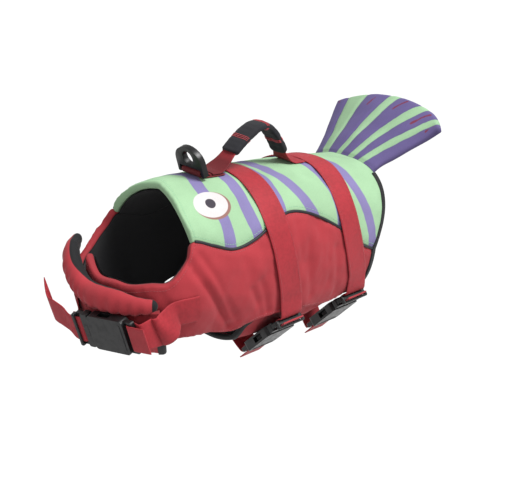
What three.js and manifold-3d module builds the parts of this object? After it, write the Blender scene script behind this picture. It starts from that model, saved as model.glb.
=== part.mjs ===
// A padded dog life jacket cut like a fish: green back panel, red side panels, a belly panel,
// a chest flap with a padded roll, two body straps, a neck strap, a lifting handle and a tail fin.
// Millimetres. x runs from the neck to the tail, y across (the dog's left is -y), z up.
import * as THREE from "three";
import { mergeVertices } from "three/addons/utils/BufferGeometryUtils.js";
import Module from "manifold-3d";

const wasm = await Module();
wasm.setup();

const jacket = new THREE.Group();
jacket.name = "dog_life_jacket";

// The origin lies on the inner face of the back's lining, on the ridge between the two body straps
jacket.position.z = 3.3;

const RED = "#a8393f";
const GREEN = "#8fd3a0";
const BLACK = "#1b1c1f";
const GREY = "#2c2d31";
const PURPLE = "#6a5fa0";

// Named sizes
const WALL = 9;
const SEAM_GAP = 0.25;
const VALLEY = 2.2;
const CLEAR = 0.8;
const WEBBING = 32;
const WEB_THICK = 1.6;
const FRONT_REACH = 92;
const FRONT_START = -165;
const FRONT_POWER = 2.5;

// The hollow that the jacket closes round: top and bottom height, half width and squareness
const FORM = [
  { x: -175, top: 27, bottom: -174, half: 88, power: 1.88 },
  { x: -115, top: 20.5, bottom: -185, half: 91, power: 2.2 },
  { x: -49, top: 13.5, bottom: -189, half: 92, power: 2.45 },
  { x: 0, top: 8, bottom: -189, half: 90, power: 2.5 },
  { x: 50, top: 2, bottom: -185, half: 85, power: 2.5 },
  { x: 90, top: -4.5, bottom: -178, half: 80, power: 2.6 },
  { x: 125, top: -11, bottom: -171, half: 75, power: 2.7 },
];

function column(rows, key, x) {
  const last = rows.length - 1;
  let i = 0;
  while (i < last - 1 && x > rows[i + 1].x) i += 1;
  const slope = (k) => {
    const a = rows[Math.max(k - 1, 0)];
    const b = rows[Math.min(k + 1, last)];
    return (b[key] - a[key]) / (b.x - a.x);
  };
  const step = rows[i + 1].x - rows[i].x;
  const s = (x - rows[i].x) / step;
  if (s < 0) return rows[i][key] + slope(i) * (x - rows[i].x);
  if (s > 1) return rows[i + 1][key] + slope(i + 1) * (x - rows[i + 1].x);
  return (2 * s ** 3 - 3 * s ** 2 + 1) * rows[i][key]
    + (s ** 3 - 2 * s ** 2 + s) * step * slope(i)
    + (3 * s ** 2 - 2 * s ** 3) * rows[i + 1][key]
    + (s ** 3 - s ** 2) * step * slope(i + 1);
}

function sectionAt(x) {
  const top = column(FORM, "top", x);
  const bottom = column(FORM, "bottom", x);
  return { middle: (top + bottom) / 2, high: (top - bottom) / 2, half: column(FORM, "half", x),
    power: column(FORM, "power", x) };
}

function level(p) {
  const x = Math.max(p.x, FRONT_START);
  const s = sectionAt(x);
  const nose = Math.max(FRONT_START - p.x, 0) / FRONT_REACH;
  const ring = (Math.abs(p.y) / s.half) ** s.power + (Math.abs(p.z - s.middle) / s.high) ** s.power;
  const size = (nose ** FRONT_POWER + ring ** (FRONT_POWER / s.power)) ** (1 / FRONT_POWER);
  return { size, centre: new THREE.Vector3(x, 0, s.middle) };
}

function outward(p) {
  const e = 0.5;
  const step = (dx, dy, dz) => level(new THREE.Vector3(p.x + dx, p.y + dy, p.z + dz)).size;
  return new THREE.Vector3(step(e, 0, 0) - step(-e, 0, 0), step(0, e, 0) - step(0, -e, 0),
    step(0, 0, e) - step(0, 0, -e)).normalize();
}

// A place moved straight onto the form, then lifted off it
function onForm(q, lift = 0) {
  const { size, centre } = level(q);
  const p = centre.clone().add(q.clone().sub(centre).divideScalar(size));
  return p.add(outward(p).multiplyScalar(lift));
}

// A place on the ring at x, turned by an angle from the ridge towards +y
function ringPlace(x, angle) {
  const s = sectionAt(x);
  return new THREE.Vector3(x, Math.sin(angle) * s.half, s.middle + Math.cos(angle) * s.high);
}

function ringAngle(x, z) {
  const s = sectionAt(x);
  const up = Math.min(Math.max((z - s.middle) / s.high, -1), 1);
  const side = (1 - Math.abs(up) ** s.power) ** (1 / s.power);
  return Math.atan2(side, up);
}

// A smooth curve through the rows of a table, read at row number u
function along(rows, key, u) {
  const last = rows.length - 1;
  const i = Math.min(Math.max(Math.floor(u), 0), last - 1);
  const s = u - i;
  const at = (k) => rows[Math.min(Math.max(k, 0), last)][key];
  const before = i > 0 ? at(i - 1) : 2 * at(0) - at(1);
  const after = i + 2 <= last ? at(i + 2) : 2 * at(last) - at(last - 1);
  return 0.5 * (2 * at(i) + (at(i + 1) - before) * s
    + (2 * before - 5 * at(i) + 4 * at(i + 1) - after) * s * s
    + (3 * at(i) - before - 3 * at(i + 1) + after) * s ** 3);
}

function place(rows, prefix, u) {
  return new THREE.Vector3(along(rows, prefix + "x", u), along(rows, prefix + "y", u),
    along(rows, prefix + "z", u));
}

function addMesh(name, positions, triangles, colour, parent = jacket) {
  const geometry = new THREE.BufferGeometry();
  geometry.setAttribute("position", new THREE.Float32BufferAttribute(positions, 3));
  geometry.setIndex(triangles);
  geometry.computeVertexNormals();
  const mesh = new THREE.Mesh(geometry, new THREE.MeshStandardMaterial({ color: colour, roughness: 0.8 }));
  mesh.name = name;
  parent.add(mesh);
  return mesh;
}

// A closed skin from two grids of points, the upper face and the lower face of one piece
function closedGrid(upper, lower) {
  const rows = upper.length;
  const columns = upper[0].length;
  const positions = [];
  for (const face of [upper, lower]) {
    for (const line of face) {
      for (const p of line) positions.push(p.x, p.y, p.z);
    }
  }
  const id = (face, i, j) => face * rows * columns + i * columns + j;
  const triangles = [];
  const quad = (a, b, c, d) => triangles.push(a, b, c, a, c, d);
  for (let i = 0; i < rows - 1; i += 1) {
    for (let j = 0; j < columns - 1; j += 1) {
      quad(id(0, i, j), id(0, i + 1, j), id(0, i + 1, j + 1), id(0, i, j + 1));
      quad(id(1, i, j), id(1, i, j + 1), id(1, i + 1, j + 1), id(1, i + 1, j));
    }
    quad(id(0, i + 1, 0), id(0, i, 0), id(1, i, 0), id(1, i + 1, 0));
    quad(id(0, i, columns - 1), id(0, i + 1, columns - 1), id(1, i + 1, columns - 1), id(1, i, columns - 1));
  }
  for (let j = 0; j < columns - 1; j += 1) {
    quad(id(0, 0, j), id(0, 0, j + 1), id(1, 0, j + 1), id(1, 0, j));
    quad(id(0, rows - 1, j + 1), id(0, rows - 1, j), id(1, rows - 1, j), id(1, rows - 1, j + 1));
  }
  return orient(positions, triangles);
}

function orient(positions, triangles) {
  let volume = 0;
  for (let t = 0; t < triangles.length; t += 3) {
    const [a, b, c] = [0, 1, 2].map((k) => new THREE.Vector3().fromArray(positions, 3 * triangles[t + k]));
    volume += a.dot(b.cross(c));
  }
  if (volume < 0) {
    for (let t = 0; t < triangles.length; t += 3) {
      [triangles[t + 1], triangles[t + 2]] = [triangles[t + 2], triangles[t + 1]];
    }
  }
  return { positions, triangles };
}

// How far a crease lowers the cloth at a place: a soft trough along a line of points
function creaseAt(creases, p) {
  let depth = 0;
  for (const crease of creases) {
    let nearest = Infinity;
    for (let k = 0; k < crease.line.length - 1; k += 1) {
      const a = new THREE.Vector3(...crease.line[k]);
      const b = new THREE.Vector3(...crease.line[k + 1]);
      const ab = b.clone().sub(a);
      const t = Math.min(Math.max(p.clone().sub(a).dot(ab) / ab.lengthSq(), 0), 1);
      nearest = Math.min(nearest, a.addScaledVector(ab, t).distanceTo(p));
    }
    depth += crease.deep * Math.exp(-((nearest / crease.wide) ** 2));
  }
  return depth;
}

// Station fractions across a width in mm: a few close to each edge, the rest spread evenly
function spread(width, edge, count) {
  const list = edge.map((d) => d / width);
  const from = edge[edge.length - 1] / width;
  for (let k = 1; k < count; k += 1) list.push(from + (1 - 2 * from) * k / count);
  for (const d of [...edge].reverse()) list.push(1 - d / width);
  return list;
}

const rimShape = (s, radius) => (s >= radius ? 1 : 0.42 + 0.58 * Math.sqrt(1 - (1 - Math.max(s, 0) / radius) ** 2));
const valleyShape = (s) => (s >= 13 ? 0 : (1 - Math.max(s, 0) / 13) ** 2);

// One cut panel as a padded wall. guide(u, v) gives places before they are moved onto the form,
// u runs over the rows and v from the first edge to the second.
function panel(o) {
  const outer = [];
  const inner = [];
  const lengths = [0];
  const middles = o.us.map((u) => onForm(o.guide(u, 0.5), 0));
  for (let i = 1; i < middles.length; i += 1) lengths.push(lengths[i - 1] + middles[i].distanceTo(middles[i - 1]));
  const total = lengths[lengths.length - 1];
  o.us.forEach((u, i) => {
    let width = 0;
    let last = null;
    for (let k = 0; k <= 12; k += 1) {
      const p = onForm(o.guide(u, k / 12), 0);
      if (last) width += p.distanceTo(last);
      last = p;
    }
    const upLine = [];
    const downLine = [];
    for (const v of spread(width, o.edge, o.count)) {
      const q = onForm(o.guide(u, v), 0);
      const first = o.first(u);
      const second = o.second(u);
      let rim = 1;
      let valley = 0;
      if (first === "rim") rim = Math.min(rim, rimShape(v * width, o.radius));
      if (first === "seam") valley = Math.max(valley, valleyShape(v * width));
      if (second === "rim") rim = Math.min(rim, rimShape((1 - v) * width, o.radius));
      if (second === "seam") valley = Math.max(valley, valleyShape((1 - v) * width));
      if (o.start === "rim") rim = Math.min(rim, rimShape(lengths[i], o.radius));
      if (o.end === "rim") rim = Math.min(rim, rimShape(total - lengths[i], o.radius));
      const base = o.base ? o.base(u, v) : 0;
      const drop = o.creases ? creaseAt(o.creases, q) : 0;
      const high = base + o.high - VALLEY * valley * (o.dip ?? 1) - drop;
      const low = base + o.low - drop * (o.through ?? 0);
      const half = (high - low) / 2 * rim;
      const mid = (high + low) / 2;
      upLine.push(onForm(q, mid + half));
      downLine.push(onForm(q, mid - half));
    }
    outer.push(upLine);
    inner.push(downLine);
  });
  const skin = closedGrid(outer, inner);
  return addMesh(o.name, skin.positions, skin.triangles, o.colour);
}

// Row numbers from a to b, with extra stations close to a free end
function stations(a, b, per, startClose = [], endClose = []) {
  const list = [];
  const steps = Math.round((b - a) * per);
  for (let k = 0; k <= steps; k += 1) list.push(a + (b - a) * k / steps);
  return [...new Set([...list, ...startClose.map((d) => a + d), ...endClose.map((d) => b - d)])].sort((p, q) => p - q);
}

// A strap from stations that hold its two edges and its middle
function strap(name, stops, thick, colour, parent = jacket) {
  const upper = [];
  const lower = [];
  stops.forEach((s, i) => {
    const before = stops[Math.max(i - 1, 0)];
    const after = stops[Math.min(i + 1, stops.length - 1)];
    const up = [];
    const down = [];
    for (const key of ["l", "m", "r"]) {
      const run = after[key].clone().sub(before[key]);
      const n = s.r.clone().sub(s.l).cross(run).normalize();
      up.push(s[key].clone().addScaledVector(n, thick / 2));
      down.push(s[key].clone().addScaledVector(n, -thick / 2));
    }
    upper.push(up);
    lower.push(down);
  });
  const skin = closedGrid(upper, lower);
  return addMesh(name, skin.positions, skin.triangles, colour, parent);
}

// Stops of a strap that follows the form through rows of x, y, z, lift and width
function formStops(rows, from, to, count) {
  const stops = [];
  for (let k = 0; k <= count; k += 1) {
    const u = from + (to - from) * k / count;
    const c = onForm(place(rows, "", u), 0);
    const ahead = onForm(place(rows, "", Math.min(u + 0.05, rows.length - 1)), 0);
    const behind = onForm(place(rows, "", Math.max(u - 0.05, 0)), 0);
    const side = ahead.sub(behind).cross(outward(c)).normalize().multiplyScalar(along(rows, "wide", u) / 2);
    const lift = along(rows, "lift", u);
    stops.push({ l: onForm(c.clone().sub(side), lift), m: onForm(c, lift), r: onForm(c.clone().add(side), lift) });
  }
  return stops;
}

// Left side panel with the chest band: its upper edge is the neck edge up to row 7, then the wavy seam.
// Its lower edge is the band's lower edge, the leg opening and the hem.
const LEFT_PANEL = [
  { tx: -244, ty: 36, tz: -51, bx: -239, by: 36, bz: -130 },
  { tx: -252, ty: 14, tz: -66, bx: -253, by: 14, bz: -137 },
  { tx: -252, ty: -15, tz: -64, bx: -251, by: -15, bz: -139 },
  { tx: -249, ty: -35, tz: -64, bx: -243, by: -38, bz: -139 },
  { tx: -237, ty: -58, tz: -59, bx: -230, by: -55, bz: -137 },
  { tx: -221, ty: -72, tz: -57, bx: -215, by: -65, bz: -135 },
  { tx: -202, ty: -81, tz: -35, bx: -190, by: -72, bz: -135 },
  { tx: -190, ty: -77, tz: -17, bx: -163, by: -72, bz: -141 },
  { tx: -165, ty: -81, tz: -27, bx: -137, by: -74, bz: -147 },
  { tx: -139, ty: -85, tz: -38, bx: -114, by: -80, bz: -139 },
  { tx: -108, ty: -85, tz: -35, bx: -85, by: -84, bz: -137 },
  { tx: -75, ty: -81, tz: -24, bx: -62, by: -84, bz: -139 },
  { tx: -49, ty: -78, tz: -19, bx: -38, by: -84, bz: -142 },
  { tx: -20, ty: -80, tz: -28, bx: -10, by: -80, bz: -149 },
  { tx: 20, ty: -85, tz: -53, bx: 23, by: -74, bz: -156 },
  { tx: 62, ty: -83, tz: -87, bx: 60, by: -70, bz: -157 },
  { tx: 93, ty: -78, tz: -105, bx: 87, by: -68, bz: -149 },
];
const LEFT_SEAM = 7;
const LEFT_END = 16;

// Right side panel: the flap across the chest up to row 6, then the mirror image of the left side
const RIGHT_PANEL = [
  { tx: -241, ty: -76, tz: -87, bx: -229, by: -62, bz: -150 },
  { tx: -258, ty: -55, tz: -92, bx: -241, by: -44, bz: -144 },
  { tx: -267, ty: -25, tz: -95, bx: -252, by: -20, bz: -141 },
  { tx: -268, ty: 10, tz: -96, bx: -254, by: 10, bz: -140 },
  { tx: -263, ty: 38, tz: -85, bx: -247, by: 38, bz: -141 },
  { tx: -246, ty: 62, tz: -66, bx: -227, by: 60, bz: -139 },
  { tx: -227, ty: 73, tz: -54, bx: -209, by: 68, bz: -136 },
  ...LEFT_PANEL.slice(6).map((r) => ({ ...r, ty: -r.ty, by: -r.by })),
];
const RIGHT_SEAM = 8;
const RIGHT_END = 17;
const FLAP_LIFT = 11.5;

// Where the ridge of the back panel lies for each row of the seam
const RIDGE = [-177.5, -147, -117, -85, -55, -29, -2, 35, 80, 123].map((x) => ({ x }));

const between = (rows) => (u, v) => place(rows, "t", u).lerp(place(rows, "b", u), v);
const leftGuide = between(LEFT_PANEL);
const rightGuide = between(RIGHT_PANEL);
const easeStep = (a, b, x) => {
  const s = Math.min(Math.max((x - a) / (b - a), 0), 1);
  return s * s * (3 - 2 * s);
};
const flapBase = (u) => FLAP_LIFT * (1 - easeStep(4.1, 6.4, u));

// Back panel: from the left seam over the ridge to the right seam
function backGuide(u, v) {
  const t = Math.abs(2 * v - 1);
  const seam = onForm(place(LEFT_PANEL, "t", LEFT_SEAM + u), 0);
  const s = sectionAt(Math.max(seam.x, FRONT_START));
  const ring = ((Math.abs(seam.y) / s.half) ** s.power + (Math.abs(seam.z - s.middle) / s.high) ** s.power) ** (1 / s.power);
  const angle = Math.atan2(-seam.y / s.half, (seam.z - s.middle) / s.high) * t;
  const bow = Math.sin(t * Math.PI / 2) * (1 - u / 9) + t ** 3 * u / 9;
  const x = along(RIDGE, "x", u) * (1 - bow) + seam.x * bow;
  const here = sectionAt(Math.max(x, FRONT_START));
  const size = 1 + (ring - 1) * t;
  const square = (Math.abs(Math.sin(angle)) ** here.power + Math.abs(Math.cos(angle)) ** here.power) ** (1 / here.power);
  const straight = (Math.abs(Math.sin(angle)) ** s.power + Math.abs(Math.cos(angle)) ** s.power) ** (1 / s.power);
  const k = size / (square * (1 - t) + straight * t);
  return new THREE.Vector3(x, Math.sign(v - 0.5) * Math.sin(angle) * here.half * k,
    here.middle + Math.cos(angle) * here.high * k);
}

const SIDE_CREASES = [
  { line: [[-198, -83, -42], [-170, -88, -90], [-140, -80, -140]], deep: 2.6, wide: 7 },
  { line: [[-184, -82, -34], [-160, -90, -85], [-134, -84, -130]], deep: 1.6, wide: 6 },
  { line: [[-86, -88, -70], [-80, -92, -100], [-76, -90, -130]], deep: 1.8, wide: 6 },
  { line: [[-30, -90, -60], [-30, -92, -90], [-26, -90, -125]], deep: 1.8, wide: 6 },
  { line: [[18, -88, -80], [20, -88, -110], [22, -82, -140]], deep: 1.5, wide: 6 },
];
const mirrored = (creases) => creases.map((c) => ({ ...c, line: c.line.map(([x, y, z]) => [x, -y, z]) }));

const leftUs = stations(0, LEFT_SEAM, 2, [0.05, 0.16]).concat(stations(LEFT_SEAM, LEFT_END, 2).slice(1));
const rightUs = stations(0, RIGHT_SEAM, 2).concat(stations(RIGHT_SEAM, RIGHT_END, 2).slice(1));
const backUs = stations(0, 9, 2, [0.05, 0.16]);

panel({ name: "back_panel", us: backUs, guide: backGuide, high: 0, low: -WALL, edge: [SEAM_GAP, 4, 13],
  count: 12, first: () => "seam", second: () => "seam", start: "rim", radius: 4.5, colour: GREEN });
panel({ name: "side_panel_left", us: leftUs, guide: leftGuide, high: 0, low: -WALL, edge: [SEAM_GAP, 1.6, 4.5, 12],
  count: 5, first: (u) => (u < LEFT_SEAM ? "rim" : "seam"), second: () => "rim", start: "rim", radius: 4.5,
  creases: SIDE_CREASES, colour: RED });
panel({ name: "side_panel_right", us: rightUs, guide: rightGuide, base: flapBase, high: 0, low: -WALL,
  edge: [SEAM_GAP, 1.6, 4.5, 12], count: 5, radius: 4.5, creases: mirrored(SIDE_CREASES), colour: RED,
  first: (u) => (u < RIGHT_SEAM && u > 5.9 ? "rim" : "seam"), second: () => "rim" });

// Black lining inside each padded wall
const LINING = { high: -WALL - 0.8, low: -WALL - 1.6, first: () => "plain", second: () => "plain", colour: BLACK, radius: 1 };
panel({ ...LINING, high: -WALL - 1.5, low: -WALL - 2.3, name: "back_lining", us: stations(0, 9, 2).map((u) => Math.min(Math.max(u, 0.12), 8.95)),
  guide: backGuide, edge: [0.4], count: 12 });
panel({ ...LINING, name: "side_lining_left", us: stations(0, LEFT_END, 1).map((u) => Math.min(Math.max(u, 0.12), 15.95)),
  guide: leftGuide, edge: [2.5], count: 7 });
panel({ ...LINING, name: "side_lining_right", us: stations(0, RIGHT_SEAM, 2).concat(stations(RIGHT_SEAM, RIGHT_END, 1).slice(1))
    .map((u) => Math.min(Math.max(u, 0.08), 16.95)),
  guide: rightGuide, base: flapBase, edge: [2.5], count: 7 });

// Padded roll along the upper edge of the chest flap
function roundTube(name, stops, sides, colour) {
  const rings = stops.map((s) => {
    const ring = [];
    for (let k = 0; k < sides; k += 1) {
      const a = 2 * Math.PI * k / sides;
      ring.push(s.c.clone().addScaledVector(s.n, Math.cos(a) * s.deep).addScaledVector(s.w, Math.sin(a) * s.high));
    }
    return ring;
  });
  const positions = [];
  for (const ring of rings) for (const p of ring) positions.push(p.x, p.y, p.z);
  const triangles = [];
  for (let i = 0; i < rings.length - 1; i += 1) {
    for (let k = 0; k < sides; k += 1) {
      const n = (k + 1) % sides;
      const a = i * sides;
      triangles.push(a + k, a + n, a + sides + n, a + k, a + sides + n, a + sides + k);
    }
  }
  for (const [i, flip] of [[0, true], [rings.length - 1, false]]) {
    const tip = positions.length / 3;
    positions.push(stops[i].c.x, stops[i].c.y, stops[i].c.z);
    for (let k = 0; k < sides; k += 1) {
      const n = (k + 1) % sides;
      triangles.push(...(flip ? [tip, i * sides + n, i * sides + k] : [tip, i * sides + k, i * sides + n]));
    }
  }
  const skin = orient(positions, triangles);
  return addMesh(name, skin.positions, skin.triangles, colour);
}

const ROLL = { deep: 11, high: 14.5, lift: 12.6, from: 0.04, to: 5.95, count: 22 };
const rollSize = (u) => (1 - 0.42 * easeStep(4.3, 6, u)) * (0.55 + 0.45 * easeStep(-0.3, 2.4, u));
const rollStops = [];
for (let k = 0; k <= ROLL.count; k += 1) {
  const u = ROLL.from + (ROLL.to - ROLL.from) * k / ROLL.count;
  const edge = onForm(rightGuide(u, 0), 0);
  const down = onForm(rightGuide(u, 0.2), 0).sub(edge).normalize();
  const base = onForm(edge.clone().addScaledVector(down, -(ROLL.high - 0.6) * rollSize(u) - 1.6 * (1 - easeStep(1, 3, u))), 0);
  const c = onForm(base, ROLL.lift * (1 - 0.25 * easeStep(4.8, 6.2, u)));
  const n = outward(base);
  const close = Math.min(k, ROLL.count - k);
  const cap = close === 0 ? 0.62 : close === 1 ? 0.92 : 1;
  const w = down.clone().addScaledVector(n, -down.dot(n)).normalize();
  const thin = rollSize(u);
  rollStops.push({ c, n, w, deep: ROLL.deep * cap * thin, high: ROLL.high * cap * thin });
}
roundTube("chest_roll", rollStops, 12, RED);

// Belly panel, tucked inside both flanks; its front edge dips towards the middle
const BELLY = { wing: 107, front: -105, frontWing: -70, rear: 80, tuck: 12.1, sag: 3, wall: 6 };
function bellyGuide(u, v) {
  const t = Math.abs(2 * v - 1);
  const from = BELLY.front + (BELLY.frontWing - BELLY.front) * t ** 3;
  const angle = (BELLY.wing + (360 - 2 * BELLY.wing) * v) * Math.PI / 180;
  const p = ringPlace(from + (BELLY.rear - from) * u, angle);
  p.y *= -1;
  return p;
}
const bellyBase = (u, v) => -BELLY.sag - (BELLY.tuck - BELLY.sag) * easeStep(0.36, 0.6, Math.abs(2 * v - 1));
const bellyUs = [0, 1, 2, 3, 4, 5, 6, 7, 8, 9, 10].map((k) => k / 10);
panel({ name: "belly_panel", us: bellyUs, guide: bellyGuide, base: bellyBase, high: 0, low: -BELLY.wall, edge: [0, 3],
  count: 14, first: () => "rim", second: () => "rim", radius: 3, colour: RED });
panel({ name: "belly_lining", us: [0.01, 0.2, 0.4, 0.6, 0.8, 0.99], guide: bellyGuide, base: bellyBase, colour: BLACK,
  high: -BELLY.wall - 0.6, low: -BELLY.wall - 1.6, edge: [0, 3], count: 14, radius: 1,
  first: () => "plain", second: () => "plain" });

// A rounded black edge tape: line(v) runs along the edge, way(v) points off the panel
function edgeTape(name, line, way, spec) {
  const us = [0, 0.45, 0.8, 1].map((k) => 0.4 + spec.wide * k);
  panel({ name, us, guide: (u, v) => line(v).addScaledVector(way(v), u), base: spec.base, high: spec.high, low: spec.low,
    edge: [0], count: spec.count, first: () => "plain", second: () => "plain", end: "rim", radius: spec.wide,
    colour: BLACK });
}
const rearward = () => new THREE.Vector3(1, 0, 0);
const FIN_ROOT = 0.315;
const leftRear = (v) => (v < 0.5 ? leftGuide(LEFT_END, 1 - 2 * v * 0.995) : backGuide(9, (2 * v - 1) * FIN_ROOT));
const rightRear = (v) => {
  const p = leftRear(v);
  p.y *= -1;
  return p;
};
edgeTape("rear_tape_left", leftRear, rearward, { wide: 5, high: 0.4, low: -WALL, count: 14 });
edgeTape("rear_tape_right", rightRear, rearward, { wide: 5, high: 0.4, low: -WALL, count: 14 });
const bellyFront = (v) => bellyGuide(0, 0.06 + 0.88 * v);
const forward = (v) => bellyGuide(0, 0.06 + 0.88 * v).sub(bellyGuide(0.1, 0.06 + 0.88 * v)).normalize();
edgeTape("belly_front_tape", bellyFront, forward, { wide: 6, high: 0.3, low: -BELLY.wall - 0.3, count: 14,
  base: (u, v) => bellyBase(0, 0.06 + 0.88 * v) });
const flapEnd = (v) => rightGuide(0, 0.07 + 0.92 * v);
const flapWay = (v) => rightGuide(0, v).sub(rightGuide(0.3, v)).normalize();
edgeTape("flap_end_tape", flapEnd, flapWay, { wide: 5, high: 0, low: -WALL - 1.2, count: 5, base: () => FLAP_LIFT });

// Grey piping laid along each wavy seam
for (const [name, mirror] of [["seam_piping_left", 1], ["seam_piping_right", -1]]) {
  const guide = (u, v) => {
    const seam = onForm(place(LEFT_PANEL, "t", LEFT_SEAM + u), 0);
    const up = onForm(backGuide(u, 0.03), 0).sub(seam).normalize();
    seam.addScaledVector(up, (v - 0.5) * 3.6);
    seam.y *= mirror;
    return seam;
  };
  panel({ name, us: stations(0, 9, 2).map((u) => Math.min(Math.max(u, 0.16), 8.97)), guide, high: -0.1, low: -1.2, edge: [0],
    count: 2, first: () => "plain", second: () => "plain", radius: 1, colour: GREY });
}

// Side-release buckle for the webbing, built about its own middle: x along the webbing, y across, z out
const BUCKLE = { wide: 43, thick: 12, long: 84, bar: 38, barThick: 3.6, slot: 33.8, join: 21.5 };
// A closed geometry as a solid that can be joined and cut
function solidOf(geometry) {
  geometry.deleteAttribute("normal");
  geometry.deleteAttribute("uv");
  const merged = mergeVertices(geometry);
  const vertProperties = new Float32Array(merged.attributes.position.array);
  const triVerts = new Uint32Array(merged.index.array);
  return new wasm.Manifold(new wasm.Mesh({ numProp: 3, vertProperties, triVerts }));
}
const block = (x0, x1, y, z) => solidOf(new THREE.BoxGeometry(x1 - x0, 2 * y, 2 * z).translate((x0 + x1) / 2, 0, 0));
function roundedPlate(x0, x1, y, radius, z) {
  const outline = new THREE.Shape();
  outline.absarc(x1 - radius, y - radius, radius, 0, Math.PI / 2);
  outline.absarc(x0 + radius, y - radius, radius, Math.PI / 2, Math.PI);
  outline.absarc(x0 + radius, radius - y, radius, Math.PI, 1.5 * Math.PI);
  outline.absarc(x1 - radius, radius - y, radius, 1.5 * Math.PI, 2 * Math.PI);
  const plate = new THREE.ExtrudeGeometry(outline, { depth: 2 * z, bevelEnabled: false, curveSegments: 3 });
  return solidOf(plate.translate(0, 0, -z));
}
function socketSolid() {
  const half = BUCKLE.wide / 2;
  const body = roundedPlate(-31, 21, half, 5, BUCKLE.thick / 2);
  const tail = roundedPlate(-42, -24, half - 1.5, 3, 2.6);
  const cavity = block(-9, 22, 17.6, 3.3);
  const windows = block(-9, 7, half + 1, 3.3).subtract(block(-9.5, 7.5, 17, 3.4));
  const slot = block(-36, -31.4, 17.4, 7);
  return body.add(tail).subtract(cavity).subtract(windows).subtract(slot);
}
function plugSolid() {
  const half = BUCKLE.wide / 2;
  const shoulder = roundedPlate(22, 31.4, half - 0.5, 2, BUCKLE.thick / 2 - 1);
  const ladder = roundedPlate(27, 42, half - 1, 3, 2.6);
  const slot = block(31.4, 36, 17.4, 7);
  const arm = block(-6, 24, 2.2, 2.6);
  const latch = block(-7, 4, 2.9, 2.6);
  const arms = arm.translate([0, 13.4, 0]).add(latch.translate([0, 15.2, 0]))
    .add(arm.translate([0, -13.4, 0])).add(latch.translate([0, -15.2, 0]));
  const guideTongue = block(0, 24, 2.5, 2.2);
  return shoulder.add(ladder).subtract(slot).add(arms).add(guideTongue);
}
function solidMesh(name, solid, frame, colour, parent = jacket) {
  const m = solid.getMesh();
  const positions = [];
  for (let i = 0; i < m.numVert; i += 1) {
    const p = new THREE.Vector3(m.vertProperties[i * m.numProp], m.vertProperties[i * m.numProp + 1],
      m.vertProperties[i * m.numProp + 2]).applyMatrix4(frame);
    positions.push(p.x, p.y, p.z);
  }
  return addMesh(name, positions, Array.from(m.triVerts), colour, parent);
}
function frameAt(origin, run, out) {
  const z = out.clone().normalize();
  const x = run.clone().addScaledVector(z, -run.dot(z)).normalize();
  const y = z.clone().cross(x);
  return new THREE.Matrix4().makeBasis(x, y, z).setPosition(origin);
}
// The webbing round a buckle bar, in the buckle's own frame: end is +1 at the ladder, -1 at the socket
function barLoop(frame, end, tail) {
  const path = [[49, -2.6], [42.5, -3.6], [38, -3.9], [35, -3.2], [33.8, -1.2], [33.8, 1.2], [35, 3.2], [38, 3.9], [42.5, 3.8], ...tail];
  return path.map(([x, z]) => {
    const at = (y) => new THREE.Vector3(end * x, -y, z).applyMatrix4(frame);
    return { l: at(-WEBBING / 2), m: at(0), r: at(WEBBING / 2) };
  });
}
function addBuckle(name, frame) {
  solidMesh(name + "_socket", socketSolid(), frame, BLACK);
  solidMesh(name + "_plug", plugSolid(), frame, BLACK);
}

// Body straps: the way round by degrees from the ridge towards the left side, and the two ends of the buckle
const ringRows = (xs) => xs.map(([angle, x, lift]) => ({ angle, x, lift }));
const STRAPS = [
  { name: "front", ladder: [-58, -89.4, -144.6], socket: [-58, -22.5, -208], rows: ringRows([
    [108, -60, 2], [96, -64, 1.6], [84, -68, 1.6], [70, -72, 1.6], [52, -75, 1.6], [34, -73, 1.6], [16, -69, 1.6],
    [0, -67, 1.6], [-16, -69, 1.6], [-34, -73, 1.6], [-52, -75, 1.6], [-70, -72, 1.6], [-88, -67, 1.6],
    [-106, -61, 1.6], [-124, -58, 1.4], [-140, -58, -0.6], [-156, -58, -1.2], [-170, -58, -1.6]]) },
  { name: "rear", ladder: [62, -74, -158.4], socket: [62, -17, -214.5], rows: ringRows([
    [108, 58, 2], [96, 53, 1.6], [84, 48, 1.6], [70, 43, 1.6], [52, 41, 1.6], [34, 45, 1.6], [16, 51, 1.6],
    [0, 54, 1.6], [-16, 51, 1.6], [-34, 45, 1.6], [-52, 41, 1.6], [-70, 43, 1.6], [-88, 50, 1.6],
    [-106, 57, 1.6], [-124, 61, 1.4], [-140, 62, -0.6], [-156, 62, -1.2], [-170, 62, -1.6]]) },
];
for (const s of STRAPS) {
  const rows = s.rows.map((r) => {
    const p = ringPlace(r.x, -r.angle * Math.PI / 180);
    return { x: p.x, y: p.y, z: p.z, lift: r.lift, wide: WEBBING };
  });
  const ladderEnd = new THREE.Vector3(...s.ladder);
  const socketEnd = new THREE.Vector3(...s.socket);
  const run = ladderEnd.clone().sub(socketEnd);
  const frame = frameAt(ladderEnd.clone().lerp(socketEnd, 0.5), run, new THREE.Vector3(1, 0, 0).cross(run));
  addBuckle("buckle_" + s.name, frame);
  const body = formStops(rows, 0, rows.length - 1, 38);
  const ladder = barLoop(frame, 1, [[48, 4]]).reverse();
  const socket = barLoop(frame, -1, [[50, 3.9], [56, 3.9]]);
  strap("strap_" + s.name, [...ladder, ...body, ...socket], WEB_THICK, RED);
}

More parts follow.
